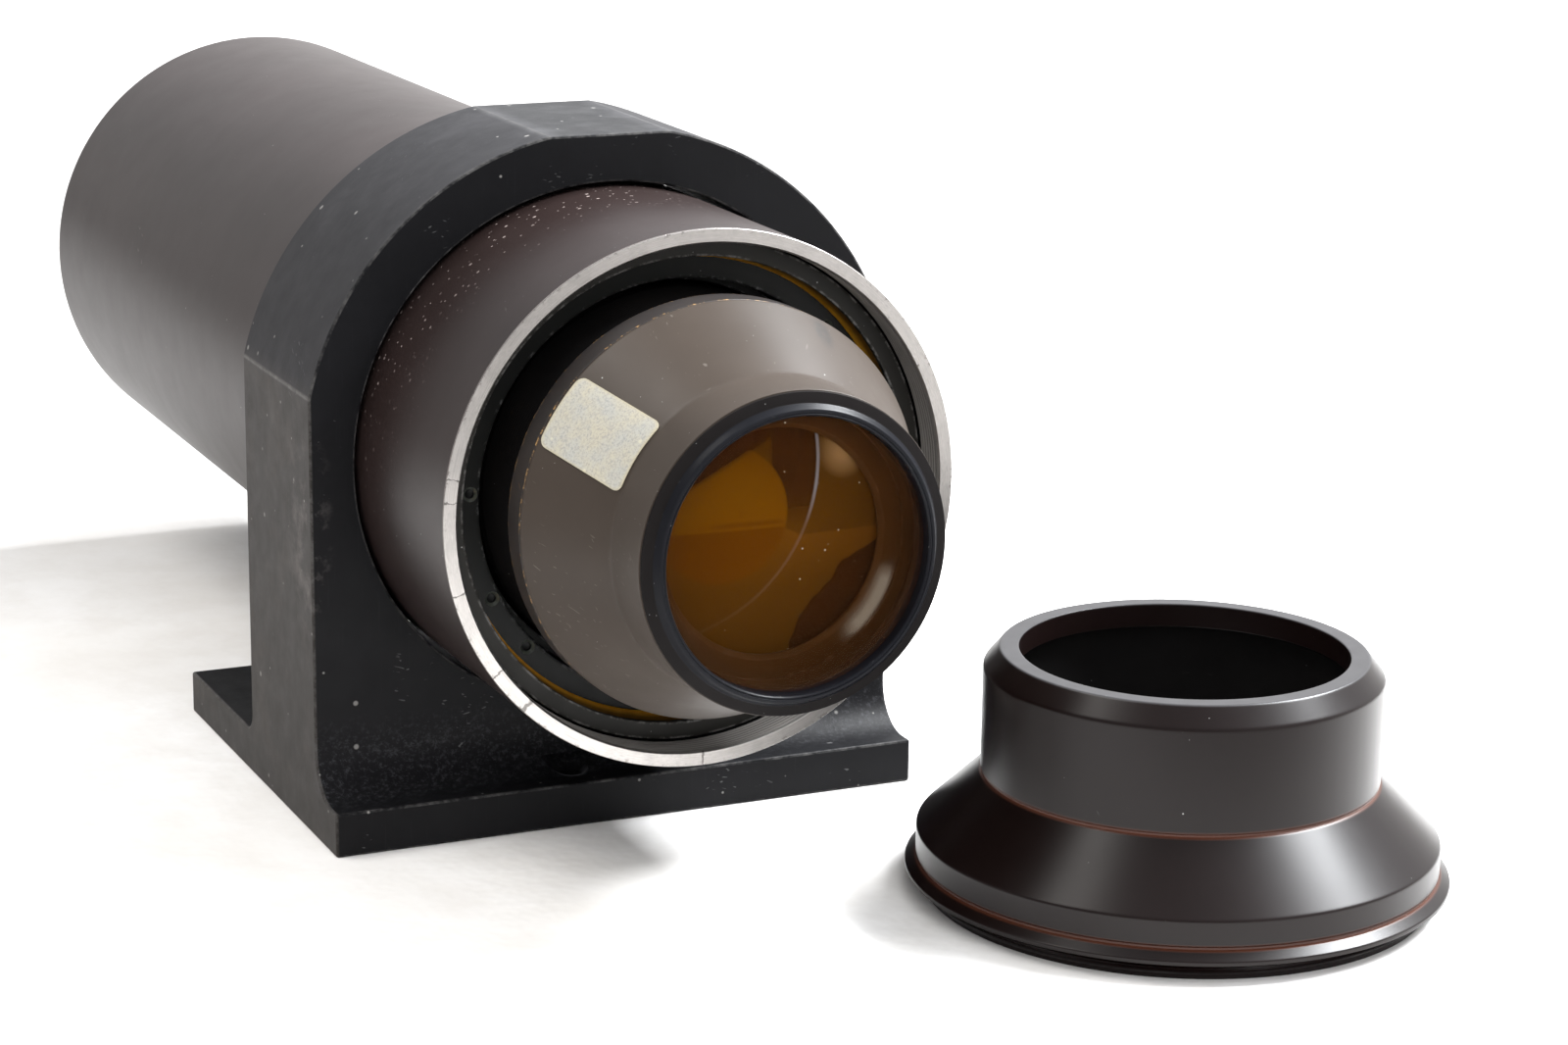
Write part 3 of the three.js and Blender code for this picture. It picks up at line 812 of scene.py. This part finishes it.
def make_materials():
    grey_wear = (0.20, 0.18, 0.17)
    return {
        "bracket": bracket_material("charcoal_finish", False),
        "bracket_edge": bracket_material("charcoal_worn_edge", True),
        "tube": anodised("faded_anodising", (0.0150, 0.0092, 0.0084), (0.0200, 0.0130, 0.0122), 0.36, 1.31,
                         wear=grey_wear, dust=0.3, lines=0.12, scratch=0.03, uneven=0.015, extra=tube_dust),
        "thread": anodised("grey_thread", (0.15, 0.14, 0.13), (0.22, 0.205, 0.19), 0.34, 1.5,
                           wear=(0.3, 0.29, 0.28), wear_amount=0.0, dust=0.2, lines=0.1, scratch=0.0,
                           extra=thread_root_painted_shade),
        "bare": bare_metal("bare_machined_metal", (0.545, 0.52, 0.50), 0.28, cuts=RIM_SCORES),
        "black": anodised("black_anodising", (0.0062, 0.0064, 0.0060), (0.0095, 0.0100, 0.0095), 0.42, 1.24,
                          wear=(0.09, 0.09, 0.09), wear_amount=0.1, dust=0.3, scratch=0.02),
        "retaining_ring": anodised("worn_black_ring", (0.015, 0.014, 0.0122), (0.0205, 0.0192, 0.017), 0.42,
                                   1.25, wear=(0.12, 0.115, 0.11), wear_amount=0.15, dust=0.4, lines=0.2,
                                   scratch=0.03),
        "pin_edge": anodised("pin_hole_edge", (0.030, 0.034, 0.028), (0.055, 0.060, 0.050), 0.35, 1.45,
                             wear=(0.09, 0.09, 0.09), wear_amount=0.0, dust=0.1, scratch=0.0),
        "inside": anodised("flat_black_inside", (0.002, 0.0018, 0.0018), (0.0045, 0.004, 0.004), 0.75, 1.15,
                           wear=(0.02, 0.02, 0.02), wear_amount=0.1, dust=0.15, scratch=0.0),
        "lens_wall": anodised("lens_wall_brown", (0.036, 0.0125, 0.0016), (0.047, 0.0165, 0.0022), 0.5, 1.10,
                              wear=(0.07, 0.03, 0.012), wear_amount=0.1, dust=0.1, scratch=0.0),
        # Painted light: the barrel's inner wall is a pale brass colour, made bright to stand for the light
        # inside the barrel.
        "barrel_wall": anodised("barrel_wall_painted_light", (0.42, 0.34, 0.24), (0.50, 0.42, 0.30), 0.5, 1.4,
                                wear=(0.6, 0.5, 0.3), wear_amount=0.1, dust=0.1, scratch=0.0),
        "front_ring": anodised("front_ring_black", (0.0055, 0.0046, 0.0046), (0.0085, 0.0072, 0.0072), 0.5,
                               1.15, wear=(0.05, 0.05, 0.055), wear_amount=0.0, dust=0.9, lines=0.1,
                               scratch=0.0),
        "front_lip": anodised("front_lip_black", (0.0060, 0.0062, 0.0080), (0.0085, 0.0088, 0.0110), 0.34,
                              1.17, wear=(0.05, 0.05, 0.055), wear_amount=0.0, dust=0.5, lines=0.05,
                              scratch=0.0),
        "smoked": anodised("smoked_grey_anodising", (0.019, 0.0165, 0.0160), (0.030, 0.0265, 0.0255), 0.36,
                           1.34, wear=BRONZE, wear_amount=0.10, dust=0.25, scratch=0.05),
        "cone": anodised("warm_grey_anodising", (0.0365, 0.0282, 0.0225), (0.0440, 0.0342, 0.0275), 0.40,
                         1.24, wear=(0.13, 0.115, 0.10), wear_amount=-0.02, dust=0.8, lines=0.15,
                         scratch=0.16, uneven=0.03, extra=cone_painted_neck_and_smudge),
        "adapter": anodised("satin_black_anodising", (0.0036, 0.0015, 0.0014), (0.0046, 0.0021, 0.0019), 0.31,
                            1.29, centre=ADAPTER_CENTRE, wear=(0.10, 0.10, 0.10), wear_amount=-0.05, dust=0.1,
                            lines=0.05, extra=adapter_lines_and_painted_top, scratch=0.0, uneven=0.01),
        "brass": brass_material(),
        "steel": bare_metal("dark_steel", (0.30, 0.30, 0.31), 0.3),
        "glass": front_glass_material(),
        "coated": doublet_material(),
        "inner_glass": inner_glass_material(),
        "paper": paper_material(),
    }


looks = make_materials()


def dress(piece, body, nodes, *names):
    """Gives a piece its materials, its body, and the CAD nodes that it stands for."""
    piece.data.materials.clear()
    for name in names:
        piece.data.materials.append(looks[name])
    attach(piece, body)
    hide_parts(*nodes)
    return piece


def choose_faces(piece, index, test):
    for face in piece.data.polygons:
        if test(face.center / MM, face.normal):
            face.material_index = index


def paint_within(piece, index, limit, before=math.inf):
    """Gives a material to the faces nearer the optical axis than limit, up to a place along it."""
    def is_within(place, normal):
        return math.hypot(place.x, place.z - AXIS) < limit and place.y < before

    choose_faces(piece, index, is_within)


# Bracket ----------------------------------------------------------------------------------

FOOT_FRONT, FOOT_BACK = ends("bracket")
WEB_BACK = 5.2
ARCH = 61.3
BORE = 50.95
FRONT_FILLET = 9.0
BACK_FILLET = 4.0
CREASE_ANGLE = math.radians(10.5)
SCREW_BOXES = [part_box(name) for name in ("clamp_screw_1", "clamp_screw_2")]
SCREW_PLACES = [(start.y + end.y) / 2 / MM for start, end in SCREW_BOXES]
SCREW_HOLE = 3.4


def side_outline():
    points = [(FOOT_FRONT, 0), (FOOT_BACK, 0), (FOOT_BACK, FOOT_HEIGHT)]
    points += arc(WEB_BACK + BACK_FILLET, FOOT_HEIGHT + BACK_FILLET, BACK_FILLET, 270, 180, 10)
    points += [(WEB_BACK, BRACKET_TOP), (WEB_FRONT, BRACKET_TOP)]
    points += arc(WEB_FRONT - FRONT_FILLET, FOOT_HEIGHT + FRONT_FILLET, FRONT_FILLET, 0, -90, 16)
    points.append((FOOT_FRONT, FOOT_HEIGHT))
    return points


def front_outline():
    shoulder = math.degrees(math.acos(HALF_WIDTH / ARCH))
    flat = math.degrees(math.asin((BRACKET_TOP - AXIS) / ARCH))
    points = [(-HALF_WIDTH, 0), (HALF_WIDTH, 0)]
    points += arc(0, AXIS, ARCH, shoulder, flat, 40)
    points += arc(0, AXIS, ARCH, 180 - flat, 180 - shoulder, 40)
    return points


HOLE_CHAMFER = 0.4
PIERCE = 3                       # how far a drill runs past the faces that it cuts


def drill(piece, hole, x, y, bottom, top):
    """An upright hole, with a chamfer at the face it starts from and at the face it leaves by."""
    wide = hole + HOLE_CHAMFER + PIERCE
    outline = [
        (0, bottom - PIERCE), (wide, bottom - PIERCE), (hole, bottom + HOLE_CHAMFER),
        (hole, top - HOLE_CHAMFER), (wide, top + PIERCE), (0, top + PIERCE),
    ]
    tool = lathe("tool", outline, size=0, steps=40, centre=(x, y), upright=True)
    boolean(piece, tool, "DIFFERENCE")


def make_bracket():
    piece = prism("bracket_body", side_outline(), -HALF_WIDTH, HALF_WIDTH, True)
    arch_blank = prism("tool", front_outline(), FOOT_FRONT - 1, FOOT_BACK + 1, False)
    boolean(piece, arch_blank, "INTERSECT")
    bore = lathe("tool", [(0, -90), (BORE, -90), (BORE, 90), (0, 90)], size=0, steps=160)
    boolean(piece, bore, "DIFFERENCE")
    piece.data.materials.append(looks["bracket"])
    piece.data.materials.append(looks["bracket_edge"])
    bevel(piece, 0.45, 2, 24, material_index=1)
    for x, y in FOOT_HOLE_PLACES:
        drill(piece, FOOT_HOLE, x, y, 0, FOOT_HEIGHT)
    for y in SCREW_PLACES:
        drill(piece, SCREW_HOLE, 0, y, 0, AXIS - BORE + 6)
    finish_mesh(piece, CREASE_ANGLE)
    worn = [face.material_index for face in piece.data.polygons]
    dress(piece, "bracket", ["bracket"], "bracket", "bracket_edge")
    piece.data.polygons.foreach_set("material_index", worn)


make_bracket()


# Clamp screws and pads --------------------------------------------------------------------

def make_clamp(number):
    screw_node = f"clamp_screw_{number}"
    bottom, top = low(screw_node), high(screw_node)
    centre = ((bottom.x + top.x) / 2, (bottom.y + top.y) / 2)
    root = radius(screw_node) - 0.55
    outline = [(0, bottom.z), (root, bottom.z, 0.5)]
    outline += thread_rows(root, bottom.z + 0.8, top.z - 0.8, 0.5)
    outline += [(root, top.z, 0.5), (0, top.z)]
    screw = lathe(f"grub_screw_{number}", outline, steps=48, centre=centre, upright=True)
    key_size = 1.75
    profile = [(0, bottom.z - 2), (key_size, bottom.z - 2), (key_size, bottom.z + 4), (0, bottom.z + 4.6)]
    socket = lathe("tool", profile, size=0, steps=6, centre=centre, upright=True)
    boolean(screw, socket, "DIFFERENCE")
    finish_mesh(screw)
    dress(screw, screw_node, [screw_node], "steel")
    pad_node = f"clamp_pad_{number}"
    low_end, high_end = low(pad_node).z, high(pad_node).z
    size = radius(pad_node)
    pad = lathe(f"pad_{number}", [(0, low_end), (size, low_end), (size, high_end), (0, high_end)],
                size=0.4, steps=48, centre=centre, upright=True)
    dress(pad, pad_node, [pad_node], "brass")


for clamp in (1, 2):
    make_clamp(clamp)


# Tube and its rings -----------------------------------------------------------------------

TUBE_BORE = 46.5
SHOULDER = TUBE_FRONT + 30
SEAT = low("tube_retaining_ring").y


def cut_key_slot(piece, front, back, bottom, top):
    outline = [(front, bottom), (back, bottom), (back, top), (front, top)]
    boolean(piece, prism("tool", outline, -SLOT_HALF_WIDTH, SLOT_HALF_WIDTH, True), "DIFFERENCE")
    finish_mesh(piece)


def make_tube():
    outline = [
        (THREAD_CREST + 0.1, TUBE_FRONT + 0.3, 0.1), (THREAD_CREST + 0.35, TUBE_FRONT, 0.08),
        (TUBE_RADIUS - 0.14, TUBE_FRONT, 0.04), (TUBE_RADIUS, TUBE_FRONT + 0.14, 0.05),
        (TUBE_RADIUS, TUBE_BACK, 0.5), (TUBE_BORE, TUBE_BACK, 0.4), (TUBE_BORE, SHOULDER, 0.1),
        (THREAD_CREST, SHOULDER, 0.1),
    ]
    outline += thread_rows(THREAD_CREST, SEAT - 0.1, TUBE_FRONT + 0.7, THREAD_DEPTH)
    piece = lathe("tube_body", outline)
    thread_edge = THREAD_CREST + THREAD_DEPTH + 0.1
    dress(piece, "tube", ["main_tube"], "tube", "bare", "inside", "thread")
    paint_within(piece, 2, TUBE_RADIUS - 0.6)
    paint_within(piece, 3, thread_edge, SEAT)
    paint_within(piece, 1, TUBE_RADIUS - 0.1, TUBE_FRONT + 0.3)


def ring_piece(name, cad_node, body, look, inner, outer, size=0.25, steps=ROUND):
    front, back = ends(cad_node)
    piece = lathe(name, [(inner, front), (outer, front), (outer, back), (inner, back)], size, steps)
    return dress(piece, body, [cad_node], look)


def make_front_rings():
    ring_piece("retaining_ring", "tube_retaining_ring", "tube", "retaining_ring", 43.6, 46.9, 0.3)
    front, back = ends("brass_thrust_ring")
    brass = lathe("brass_ring", [(43.9, front), (46.9, front), (46.9, back), (42.7, back)], 0.25)
    dress(brass, "tube", ["brass_thrust_ring"], "brass")


NUT_RADIUS = 46.7
NUT_BORE = 37.0
NUT_MOUTH = 38.7
NUT_MOUTH_DEPTH = 8
PIN_HOLE = 0.9
PIN_CIRCLE = 40.4
PIN_ANGLES = (177, 206, 223, -3, 26, 43)
PIN_CHAMFER = 0.5


def pin_places():
    angles = [math.radians(degrees) for degrees in PIN_ANGLES]
    return [(PIN_CIRCLE * math.cos(angle), PIN_CIRCLE * math.sin(angle)) for angle in angles]


def make_nut():
    front, back = ends("cell_adjusting_nut")
    outline = [
        (NUT_MOUTH, front, 0.4), (NUT_RADIUS, front, 0.3), (NUT_RADIUS, back), (NUT_BORE, back, 0.4),
        (NUT_BORE, front + NUT_MOUTH_DEPTH), (NUT_MOUTH, front + NUT_MOUTH_DEPTH),
    ]
    piece = lathe("adjusting_nut", outline)
    for x, z in pin_places():
        profile = [
            (0, front - 1), (PIN_HOLE + 1 + PIN_CHAMFER, front - 1), (PIN_HOLE, front + PIN_CHAMFER),
            (PIN_HOLE, front + 1.2), (0, front + 1.6),
        ]
        tool = lathe("tool", profile, size=0, steps=20)
        tool.data.transform(Matrix.Translation(Vector((x, 0, z)) * MM))
        boolean(piece, tool, "DIFFERENCE")
    finish_mesh(piece)
    dress(piece, "adjusting_nut", ["cell_adjusting_nut"], "black", "pin_edge")

    def is_hole_edge(place, normal):
        spot = Vector((place.x, place.z - AXIS))
        nearest = min((spot - Vector((x, z))).length for x, z in pin_places())
        sloping = abs(normal.y) < 0.95
        return nearest < PIN_HOLE + PIN_CHAMFER and place.y < front + PIN_CHAMFER and sloping

    choose_faces(piece, 1, is_hole_edge)


INNER_RADIUS = 46.2              # outer radius of what sits in the tube's bore
BAFFLE_OPENINGS = {"front_baffle": 34.0, "middle_baffle": 31.0, "rear_baffle": 34.0}
GUIDE_BORE = 37
SLOT_HALF_WIDTH = 2.3            # of the key's slots


def make_inside_of_tube():
    for name, edge in BAFFLE_OPENINGS.items():
        front, back = ends(name)
        slope = edge + 2.5
        outline = [
            (edge, front + 0.2, 0), (slope, front), (INNER_RADIUS, front), (INNER_RADIUS, back),
            (slope, back), (edge, front + 0.4, 0),
        ]
        dress(lathe(name + "_ring", outline, 0.2, ROUND_SMALL), "tube", [name], "inside")
    front, back = ends("rear_end_ring")
    outline = [
        (40, front), (INNER_RADIUS, front), (INNER_RADIUS, back, 0.5), (43.2, back, 0.2),
        (42.6, back - 0.9, 0.2), (40, back - 0.9, 0.5),
    ]
    dress(lathe("rear_ring", outline, 0.3), "tube", ["rear_end_ring"], "black")
    front, back = ends("rear_guide_ring")
    outline = [(GUIDE_BORE, front), (INNER_RADIUS, front), (INNER_RADIUS, back), (GUIDE_BORE, back)]
    guide = lathe("guide_ring", outline, 0.3, ROUND_SMALL)
    cut_key_slot(guide, front - 2, back + 2, AXIS - 40.3, AXIS - 30)
    dress(guide, "tube", ["rear_guide_ring"], "inside")
    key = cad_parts["guide_key"]
    rounding = key.modifiers.new("bevel", "BEVEL")
    rounding.width = 0.3 * MM
    rounding.segments = 2
    key.data.materials.clear()
    key.data.materials.append(looks["brass"])


make_tube()
make_front_rings()
make_nut()
make_inside_of_tube()


# Lens cell --------------------------------------------------------------------------------

CONE_BASE = -91.0
RIDGE = -110.0
RIDGE_RADIUS = 29.2
NECK_RADIUS = 28.9
RIM_RADIUS = radius("cell_lock_ring")
LENS_BORE = 27.3
LENS_RADIUS = 26.9
REAR_LENS_RADIUS = 29.6
FRONT_LIP = 26.7                 # outer edge of the front ring's glossy bevel
STOP = 24.0
STOP_FRONT = -98.7
STEP_BACK = -58                  # where the barrel widens for the rear lens


def make_cone():
    front, back = ends("cone_cell")
    outline = [
        (LENS_BORE, front, 0.2), (NECK_RADIUS, front, 0.15), (RIDGE_RADIUS, RIDGE, 0.5),
        (RIM_RADIUS, CONE_BASE, 0.2), (RIM_RADIUS, back, 0.1), (STOP, back), (STOP, STOP_FRONT),
        (LENS_BORE, STOP_FRONT),
    ]
    piece = dress(lathe("cone", outline), "lens_cell", ["cone_cell"], "cone", "lens_wall")
    paint_within(piece, 1, LENS_BORE + 0.1)


def make_lock_ring_and_barrel():
    front, back = ends("cell_lock_ring")
    groove = RIM_RADIUS - 0.35
    outline = [
        (33, front), (RIM_RADIUS, front, 0.25), (RIM_RADIUS, back - 1.3, 0.12), (groove, back - 1.1, 0.1),
        (groove, back, 0.4), (33, back),
    ]
    dress(lathe("lock_ring", outline), "lens_cell", ["cell_lock_ring"], "smoked")
    start, end = ends("cell_barrel")
    outline = [(STOP, start), (32.7, start), (32.7, back + 0.3, 0.1), (35.9, back + 0.3)]
    outline += thread_rows(35.9, back + 1, SHOULDER - 12, 0.5)
    outline += [
        (36.4, SHOULDER - 11), (36.4, end), (30, end), (30, STEP_BACK), (STOP, STEP_BACK), (STOP, -78.5, 0.1),
        (11.4, -78.5, 0.1), (11, -79.5, 0.1), (11.4, -80, 0.1), (STOP, -80, 0.1),
    ]
    barrel = lathe("barrel", outline, 0.25, 160)
    cut_key_slot(barrel, STEP_BACK, end + 3, AXIS - 45, AXIS - 35)
    dress(barrel, "lens_cell", ["cell_barrel"], "inside", "barrel_wall")
    paint_within(barrel, 1, STOP + 0.2)


def make_front_ring():
    front, back = ends("front_retaining_ring")
    flange = low("cone_cell").y - 0.3
    outline = [
        (24.65, front + 0.5, 0.2), (25.0, front + 0.1, 0.15), (25.25, front + 0.35, 0.1),
        (25.35, front + 0.15, 0.1), (25.9, front + 0.2, 0.4), (26.6, front + 1.35, 0.25),
        (26.75, front + 1.5, 0.1), (28.7, flange - 0.25, 0.2), (28.7, flange, 0.05), (27, flange),
        (27, back), (24.65, back),
    ]
    piece = lathe("front_ring", outline, 0.1, corner_steps=4)
    dress(piece, "lens_cell", ["front_retaining_ring"], "front_ring", "front_lip")
    paint_within(piece, 1, FRONT_LIP)


def lens_face(rim, size, bulge, count=14):
    return [(size * i / count, rim - bulge * (1 - (i / count) ** 2), 0) for i in range(count + 1)]


def lens(name, cad_node, look, size, front_face, back, back_bulge):
    outline = front_face + lens_face(back, size, back_bulge)[::-1]
    return dress(lathe(name, outline, 0, 128), "lens_cell", [cad_node], look)


def make_lenses():
    size, rear = LENS_RADIUS, REAR_LENS_RADIUS
    stepped = lens_face(-122.4, 24.3, 1.4) + [(24.3, -119, 0), (size, -119, 0)]
    lens("front_glass", "front_lens", "glass", size, stepped, -114, 1.6)
    lens("crown_glass", "crown_lens", "coated", size, lens_face(-109.4, size, 2.2), -105.4, -3)
    lens("flint_glass", "flint_lens", "inner_glass", size, lens_face(-105.1, size, -3), -99, 1.2)
    lens("rear_glass", "rear_lens", "inner_glass", rear, lens_face(-56, rear, 2), -51, -2.4)
    front, back = ends("lens_spacer_ring")
    inner, lip = 24.6, 20.3
    outline = [
        (inner, front), (size, front), (size, back), (inner, back), (inner, front + 1.7),
        (lip, front + 1.7, 0.1), (lip, front + 1.2, 0.1), (21.2, front + 0.5, 0.1), (inner, front + 0.5),
    ]
    dress(lathe("spacer_ring", outline, 0.15), "lens_cell", ["lens_spacer_ring"], "lens_wall")
    ring_piece("rear_retainer", "rear_lens_retainer", "lens_cell", "inside", 26.5, rear, 0.3, ROUND_SMALL)


LABEL_LENGTH = 20.5
LABEL_WIDTH = 14.0
LABEL_CORNER = 1.6
LABEL_ANGLE = math.radians(145.5)
LABEL_LIFT = 0.12
LABEL_THICK = 0.16


def on_cone(across, along, height):
    """A point of the label: across and along are measured on the cone from its middle, in mm."""
    rise, run = RIM_RADIUS - RIDGE_RADIUS, CONE_BASE - RIDGE
    slant = math.hypot(rise, run)
    up_slope = slant / 2 + along
    away = RIDGE_RADIUS + rise * up_slope / slant
    angle = LABEL_ANGLE - across / away
    spot = away + height * run / slant
    y = RIDGE + (run * up_slope - rise * height) / slant
    return (spot * math.cos(angle) * MM, y * MM, (AXIS + spot * math.sin(angle)) * MM)


def label_rim():
    """The label's rounded outline, with a point about every millimetre along its sides."""
    rim = []
    across, along = LABEL_WIDTH / 2 - LABEL_CORNER, LABEL_LENGTH / 2 - LABEL_CORNER
    for sx, sy, start in ((1, 1, 0), (-1, 1, 90), (-1, -1, 180), (1, -1, 270)):
        rim += arc(sx * across, sy * along, LABEL_CORNER, start, start + 90, 6)
    full = []
    for one, two in zip(rim, rim[1:] + rim[:1]):
        one, two = Vector(one), Vector(two)
        steps = max(1, int((two - one).length))
        full += [one.lerp(two, i / steps) for i in range(steps)]
    return full


def make_label():
    """A rounded rectangle of paper that follows the cone: rings of points from its rim inwards."""
    full = label_rim()
    top = LABEL_LIFT + LABEL_THICK
    layers = [(1.0, LABEL_LIFT, 1.0), (1.0, top, 1.0)]
    layers += [(share, top, 0.0) for share in (0.93, 0.8, 0.6, 0.4, 0.2)]
    verts, wear, faces = [], [], []
    for share, height, worn in layers:
        for x, y in full:
            verts.append(on_cone(x * share, y * share, height))
            wear.append(worn)
    count = len(full)
    for layer in range(len(layers) - 1):
        for i in range(count):
            j = (i + 1) % count
            here, above = layer * count, (layer + 1) * count
            faces.append((here + i, here + j, above + j, above + i))
    verts.append(on_cone(0, 0, top))
    wear.append(0.0)
    last = (len(layers) - 1) * count
    faces += [(last + i, last + (i + 1) % count, len(verts) - 1) for i in range(count)]
    under = len(verts)
    for share in (0.8, 0.5):
        for x, y in full:
            verts.append(on_cone(x * share, y * share, LABEL_LIFT))
            wear.append(0.0)
    verts.append(on_cone(0, 0, LABEL_LIFT))
    wear.append(0.0)
    for i in range(count):
        j = (i + 1) % count
        faces.append((j, i, under + i, under + j))
        faces.append((under + j, under + i, under + count + i, under + count + j))
        faces.append((under + count + j, under + count + i, len(verts) - 1))
    piece = new_object("label_paper", verts, faces)
    recalculate(piece)
    store_wear(piece, wear)
    finish_mesh(piece)
    dress(piece, "lens_cell", ["paper_label"], "paper")


make_cone()
make_lock_ring_and_barrel()
make_front_ring()
make_lenses()
make_label()


# Adapter ring -----------------------------------------------------------------------------

def make_adapter():
    root = 46.5
    outline = [(44, 0, 0.3), (root, 0, 0.4)]
    outline += thread_rows(root, 0.5, 3.3, 0.5)
    outline += [
        (root, 3.7, 0.05), (50, 3.7, 0.15), (50, 4.5, 0.2), (48.2, 5.8, 0.15), (47.75, 5.9, 0.1),
        (47.75, 6.4, 0.15), (48, 6.6, 0.1), (48, 11.2, 0.35), (36.75, 22.1, 0.2), (36.35, 22.3, 0.1),
        (36.35, 22.7, 0.1), (36.5, 22.9, 0.1), (36.5, 41.9, 0.4), (33.5, 45.5, 0.3), (30, 45.5, 0.3),
        (30, 41, 0.15), (33, 41, 0.2), (33, 20, 0.5), (44, 11.2, 0.5),
    ]
    piece = lathe("adapter", outline, 0.2, 256, centre=ADAPTER_CENTRE, upright=True, corner_steps=4)
    dress(piece, "adapter", ["adapter_ring"], "adapter", "inside")

    def is_inside(place, normal):
        away = math.hypot(place.x - ADAPTER_X, place.y - ADAPTER_Y)
        bore_there = max(33.2, 44.2 - max(0, place.z - 11) * 1.2)
        return 0.1 < place.z < 41.1 and away < bore_there

    choose_faces(piece, 1, is_inside)


make_adapter()


# Stage and light --------------------------------------------------------------------------

FLOOR_HALF = 6.0


def add_floor():
    """A pale table that darkens outside the picture, so that it reflects as in the photograph."""
    corners = [(x * FLOOR_HALF, y * FLOOR_HALF, 0) for x, y in ((-1, -1), (1, -1), (1, 1), (-1, 1))]
    floor = new_object("floor", corners, [(0, 1, 2, 3)])
    coat = Coat("pale_table")
    creases = coat.noise(0.016, 5.0)
    coat.colour = coat.blend(coat.between(creases, 0.35, 0.65), (0.74, 0.72, 0.695), (0.83, 0.82, 0.81))
    coat.over((0.70, 0.675, 0.645), coat.between(coat.noise(0.07, 5.0, 0.7), 0.45, 0.7, 0.0, 0.5))
    x, y = coat.split(coat.place)[:2]
    in_front = coat.between(y, -212.0, -320.0)
    to_the_left = coat.between(x, -135.0, -260.0)
    behind = coat.product(coat.between(y, 110.0, 240.0), coat.between(y, 1300.0, 700.0), 0.75)
    coat.over((0.24, 0.23, 0.222), coat.largest(in_front, to_the_left, behind))
    floor.data.materials.append(coat.finish(0.9, coat.bumped(creases, 0.35, 6.0)))


def add_light(name, place, target, width, height, power, colour=(1, 1, 1)):
    data = bpy.data.lights.new(name, "AREA")
    data.shape = "RECTANGLE"
    data.size, data.size_y = width, height
    data.energy = power
    data.color = colour
    light = bpy.data.objects.new(name, data)
    light.location = place
    light.rotation_euler = (Vector(target) - Vector(place)).to_track_quat("-Z", "Y").to_euler()
    bpy.context.scene.collection.objects.link(light)
    return light


def add_world():
    """A white room: bright near the horizon, a little dimmer overhead and to the left."""
    world = bpy.data.worlds.new("studio")
    shading = Shading(world)
    ray = shading.node("TexCoord").outputs["Generated"]
    x, _, z = shading.split(ray)
    colour = shading.blend(shading.between(z, 0.45, 0.1), (0.96, 0.98, 1.01), (1.10, 1.09, 1.075))
    sideways = shading.between(x, -0.45, 0.45, 0.60, 1.38)
    colour = shading.node("VectorMath", {0: colour, "Scale": sideways}, operation="SCALE").outputs[0]
    background = shading.node("Background", {"Color": colour, "Strength": 1.0})
    output = shading.node("OutputWorld")
    shading.tree.links.new(background.outputs[0], output.inputs["Surface"])
    bpy.context.scene.world = world


def aim(azimuth, elevation, distance):
    """A place seen from the part in this direction: azimuth from +X towards +Y, in degrees."""
    one, two = math.radians(azimuth), math.radians(elevation)
    flat = distance * math.cos(two)
    return (flat * math.cos(one), flat * math.sin(one), distance * math.sin(two))


add_floor()
add_world()
add_light("right_softbox", aim(-6, 49, 1.6), (0.05, -0.1, 0.05), 0.95, 0.45, 112, (0.95, 0.975, 1.0))
add_light("left_softbox", aim(160, 62, 1.6), (0, 0, 0.05), 0.8, 0.6, 14, (1.0, 0.97, 0.93))
fill = add_light("front_fill", aim(-112, 40, 1.8), (0, -0.1, 0), 1.4, 1.4, 18)
fill.visible_glossy = False
bpy.context.scene.view_settings.view_transform = "Standard"
